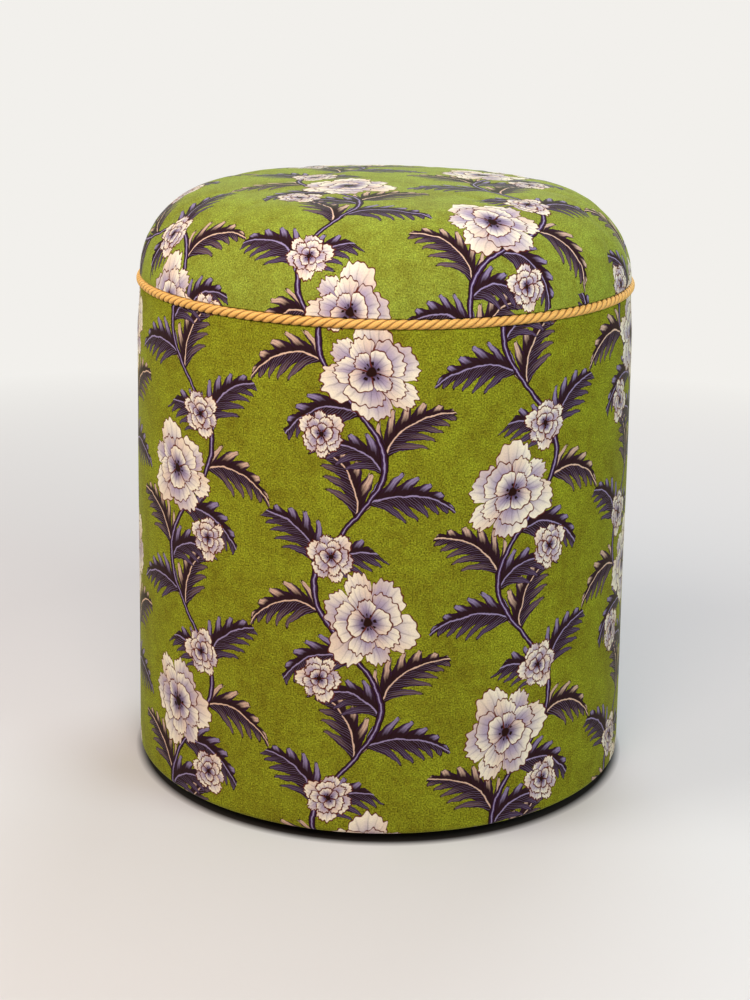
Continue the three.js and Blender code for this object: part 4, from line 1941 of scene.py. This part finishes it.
@dataclass(frozen=True)
class Softbox:
    """One round softbox aimed at the drum.

    The power is in watts, and the bounces say how far its light goes on.
    """

    name: str
    place: tuple[float, float, float]
    width: float
    power: float
    tint: str
    bounces: int = 1024
    aim_height: float = 0.25

    def build(self) -> Object:
        """Hang the softbox.

        Returns:
            The softbox.
        """
        data = bpy.data.lights.new(self.name, "AREA")
        set_up(data, shape="DISK", size=self.width, energy=self.power, color=linear(self.tint)[:3])
        data.cycles.max_bounces = self.bounces
        lamp = bpy.data.objects.new(self.name, data)
        towards = Vector((0, 0, self.aim_height)) - Vector(self.place)
        turn = towards.to_track_quat("-Z", "Y")
        set_up(lamp, location=self.place, rotation_mode="QUATERNION", rotation_quaternion=turn)
        bpy.context.scene.collection.objects.link(lamp)
        return lamp


@dataclass(frozen=True)
class Studio:
    """A pale floor among softboxes: warm ones at the left and front, cool ones at the right and behind.

    The floor keeps the drum's shadow, has a painted shadow right under the drum, and fades into an even,
    pale ground further off. It passes a warm light on, shows nothing from below, and lets a faint light
    through to the drum's underside.
    """

    floor_colour: str = "D9DADF"
    # Painted shadow: a dark colour on the floor right under the drum, within a reach and with a soft edge.
    painted_shadow_colour: str = "2A2624"
    painted_shadow_reach: float = 0.190
    painted_shadow_edge: float = 8 * MM
    far_colour: str = "F2F0EC"
    bounce_colour: str = "897359"
    floor_reach: float = 30.0
    fade_start: float = 0.45
    fade_width: float = 0.9
    sky_colour: str = "FFE6D2"
    sky_strength: float = 0.3
    boxes: tuple[Softbox, ...] = (
        Softbox("left", (-1.1, -0.5, 0.9), 0.7, 8.9, "FFFFF2"),
        Softbox("front", (-0.1, -1.05, 1.15), 0.8, 9.5, "FFE4D8"),
        Softbox("right", (1.0, -0.8, 0.8), 0.8, 8.1, "E0FFFF"),
        Softbox("back", (0.3, 1.0, 1.3), 0.9, 12.0, "F2FAFF"),
    )
    below: Softbox = Softbox("below", (0.0, -0.2, -1.0), 0.8, 4.0, "FFFFFF", bounces=0)

    def build(self) -> None:
        """Set up the floor, the lamps and the sky."""
        floor = self.floor()
        for box in self.boxes:
            box.build()
        clear = bpy.data.collections.new("floor_lets_through")
        clear.objects.link(floor)
        clear.collection_objects[0].light_linking.link_state = "EXCLUDE"
        self.below.build().light_linking.blocker_collection = clear
        self.sky()

    def floor(self) -> Object:
        """Lay the floor.

        Returns:
            The floor.
        """
        deselect_all()
        bpy.ops.mesh.primitive_plane_add(size=2 * self.floor_reach)
        floor = bpy.context.active_object
        floor.name = "floor"
        material, tree, shader = new_material("matt_painted_floor")
        seen = seen_directly(tree)
        place = add_node(tree, "ShaderNodeTexCoord").outputs["Object"]
        reach = Field(add_node(tree, "ShaderNodeVectorMath", {0: place}, operation="LENGTH").outputs[1])
        # Painted shadow right under the drum, where the floor gets next to no light.
        clear = reach.above(self.painted_shadow_reach, self.painted_shadow_edge)
        shown_with_painted_shadow = Paint(linear(self.painted_shadow_colour)).under(linear(self.floor_colour), clear)
        colour = Paint(linear(self.bounce_colour)).under(shown_with_painted_shadow, seen)
        fill(shader, {"Base Color": colour, "Roughness": 0.95, "Specular IOR Level": 0.1})
        away = reach.above(self.fade_start + self.fade_width / 2, self.fade_width)
        even = add_node(tree, "ShaderNodeEmission", {0: linear(self.far_colour), 1: 1.0})
        above = add_node(tree, "ShaderNodeMixShader", {0: away * seen, 1: shader, 2: even})
        below = add_node(tree, "ShaderNodeNewGeometry").outputs["Backfacing"]
        through = add_node(tree, "ShaderNodeBsdfTransparent")
        both = add_node(tree, "ShaderNodeMixShader", {0: below, 1: above, 2: through})
        fill(tree.nodes["Material Output"], {0: both})
        floor.data.materials.append(material)
        return floor

    def sky(self) -> None:
        """Light from all round, which the camera and mirrors see as a pale backdrop."""
        world = bpy.data.worlds.new("studio_sky")
        bpy.context.scene.world = world
        world.use_nodes = True
        tree = world.node_tree
        tree.nodes.clear()
        seen = seen_directly(tree)
        dim = add_node(tree, "ShaderNodeBackground", {0: linear(self.sky_colour), 1: self.sky_strength})
        pale = add_node(tree, "ShaderNodeBackground", {0: linear(self.far_colour), 1: 1.0})
        both = add_node(tree, "ShaderNodeMixShader", {0: seen, 1: dim, 2: pale})
        add_node(tree, "ShaderNodeOutputWorld", {0: both})


def main() -> None:
    """Build the studio and every piece in order."""
    logging.basicConfig(level=logging.INFO, format="%(name)s: %(message)s")
    bpy.context.scene.view_settings.view_transform = "Standard"
    Camera().build()
    Studio().build()
    finishes = Frame().build()
    shape = DrumShape()
    Padding(shape).build(finishes[Slot.FOAM], finishes[Slot.WADDING], finishes[Slot.TAPE])
    # The seat's velvet is a copy of the side's with a lighter, greener ground: painted light for the
    # brighter, cooler light that falls on the top.
    seat_print_painted_lit = FloralPrint("printed_velvet_seat_painted_lit", (40.0, 60.0), "8C9C39", "7A802A", pile_contrast=2.2)
    SeatCover(shape).build(seat_print_painted_lit.material())
    SideCover(shape).build(FloralPrint("printed_velvet_side", (20.0, 30.0)).material())
    TrimCord(shape).build(TwistedViscose().material())
    Underside(shape).build(finishes[Slot.DUST_CLOTH], finishes[Slot.NYLON], finishes[Slot.STEEL])


if __name__ == "__main__":
    main()
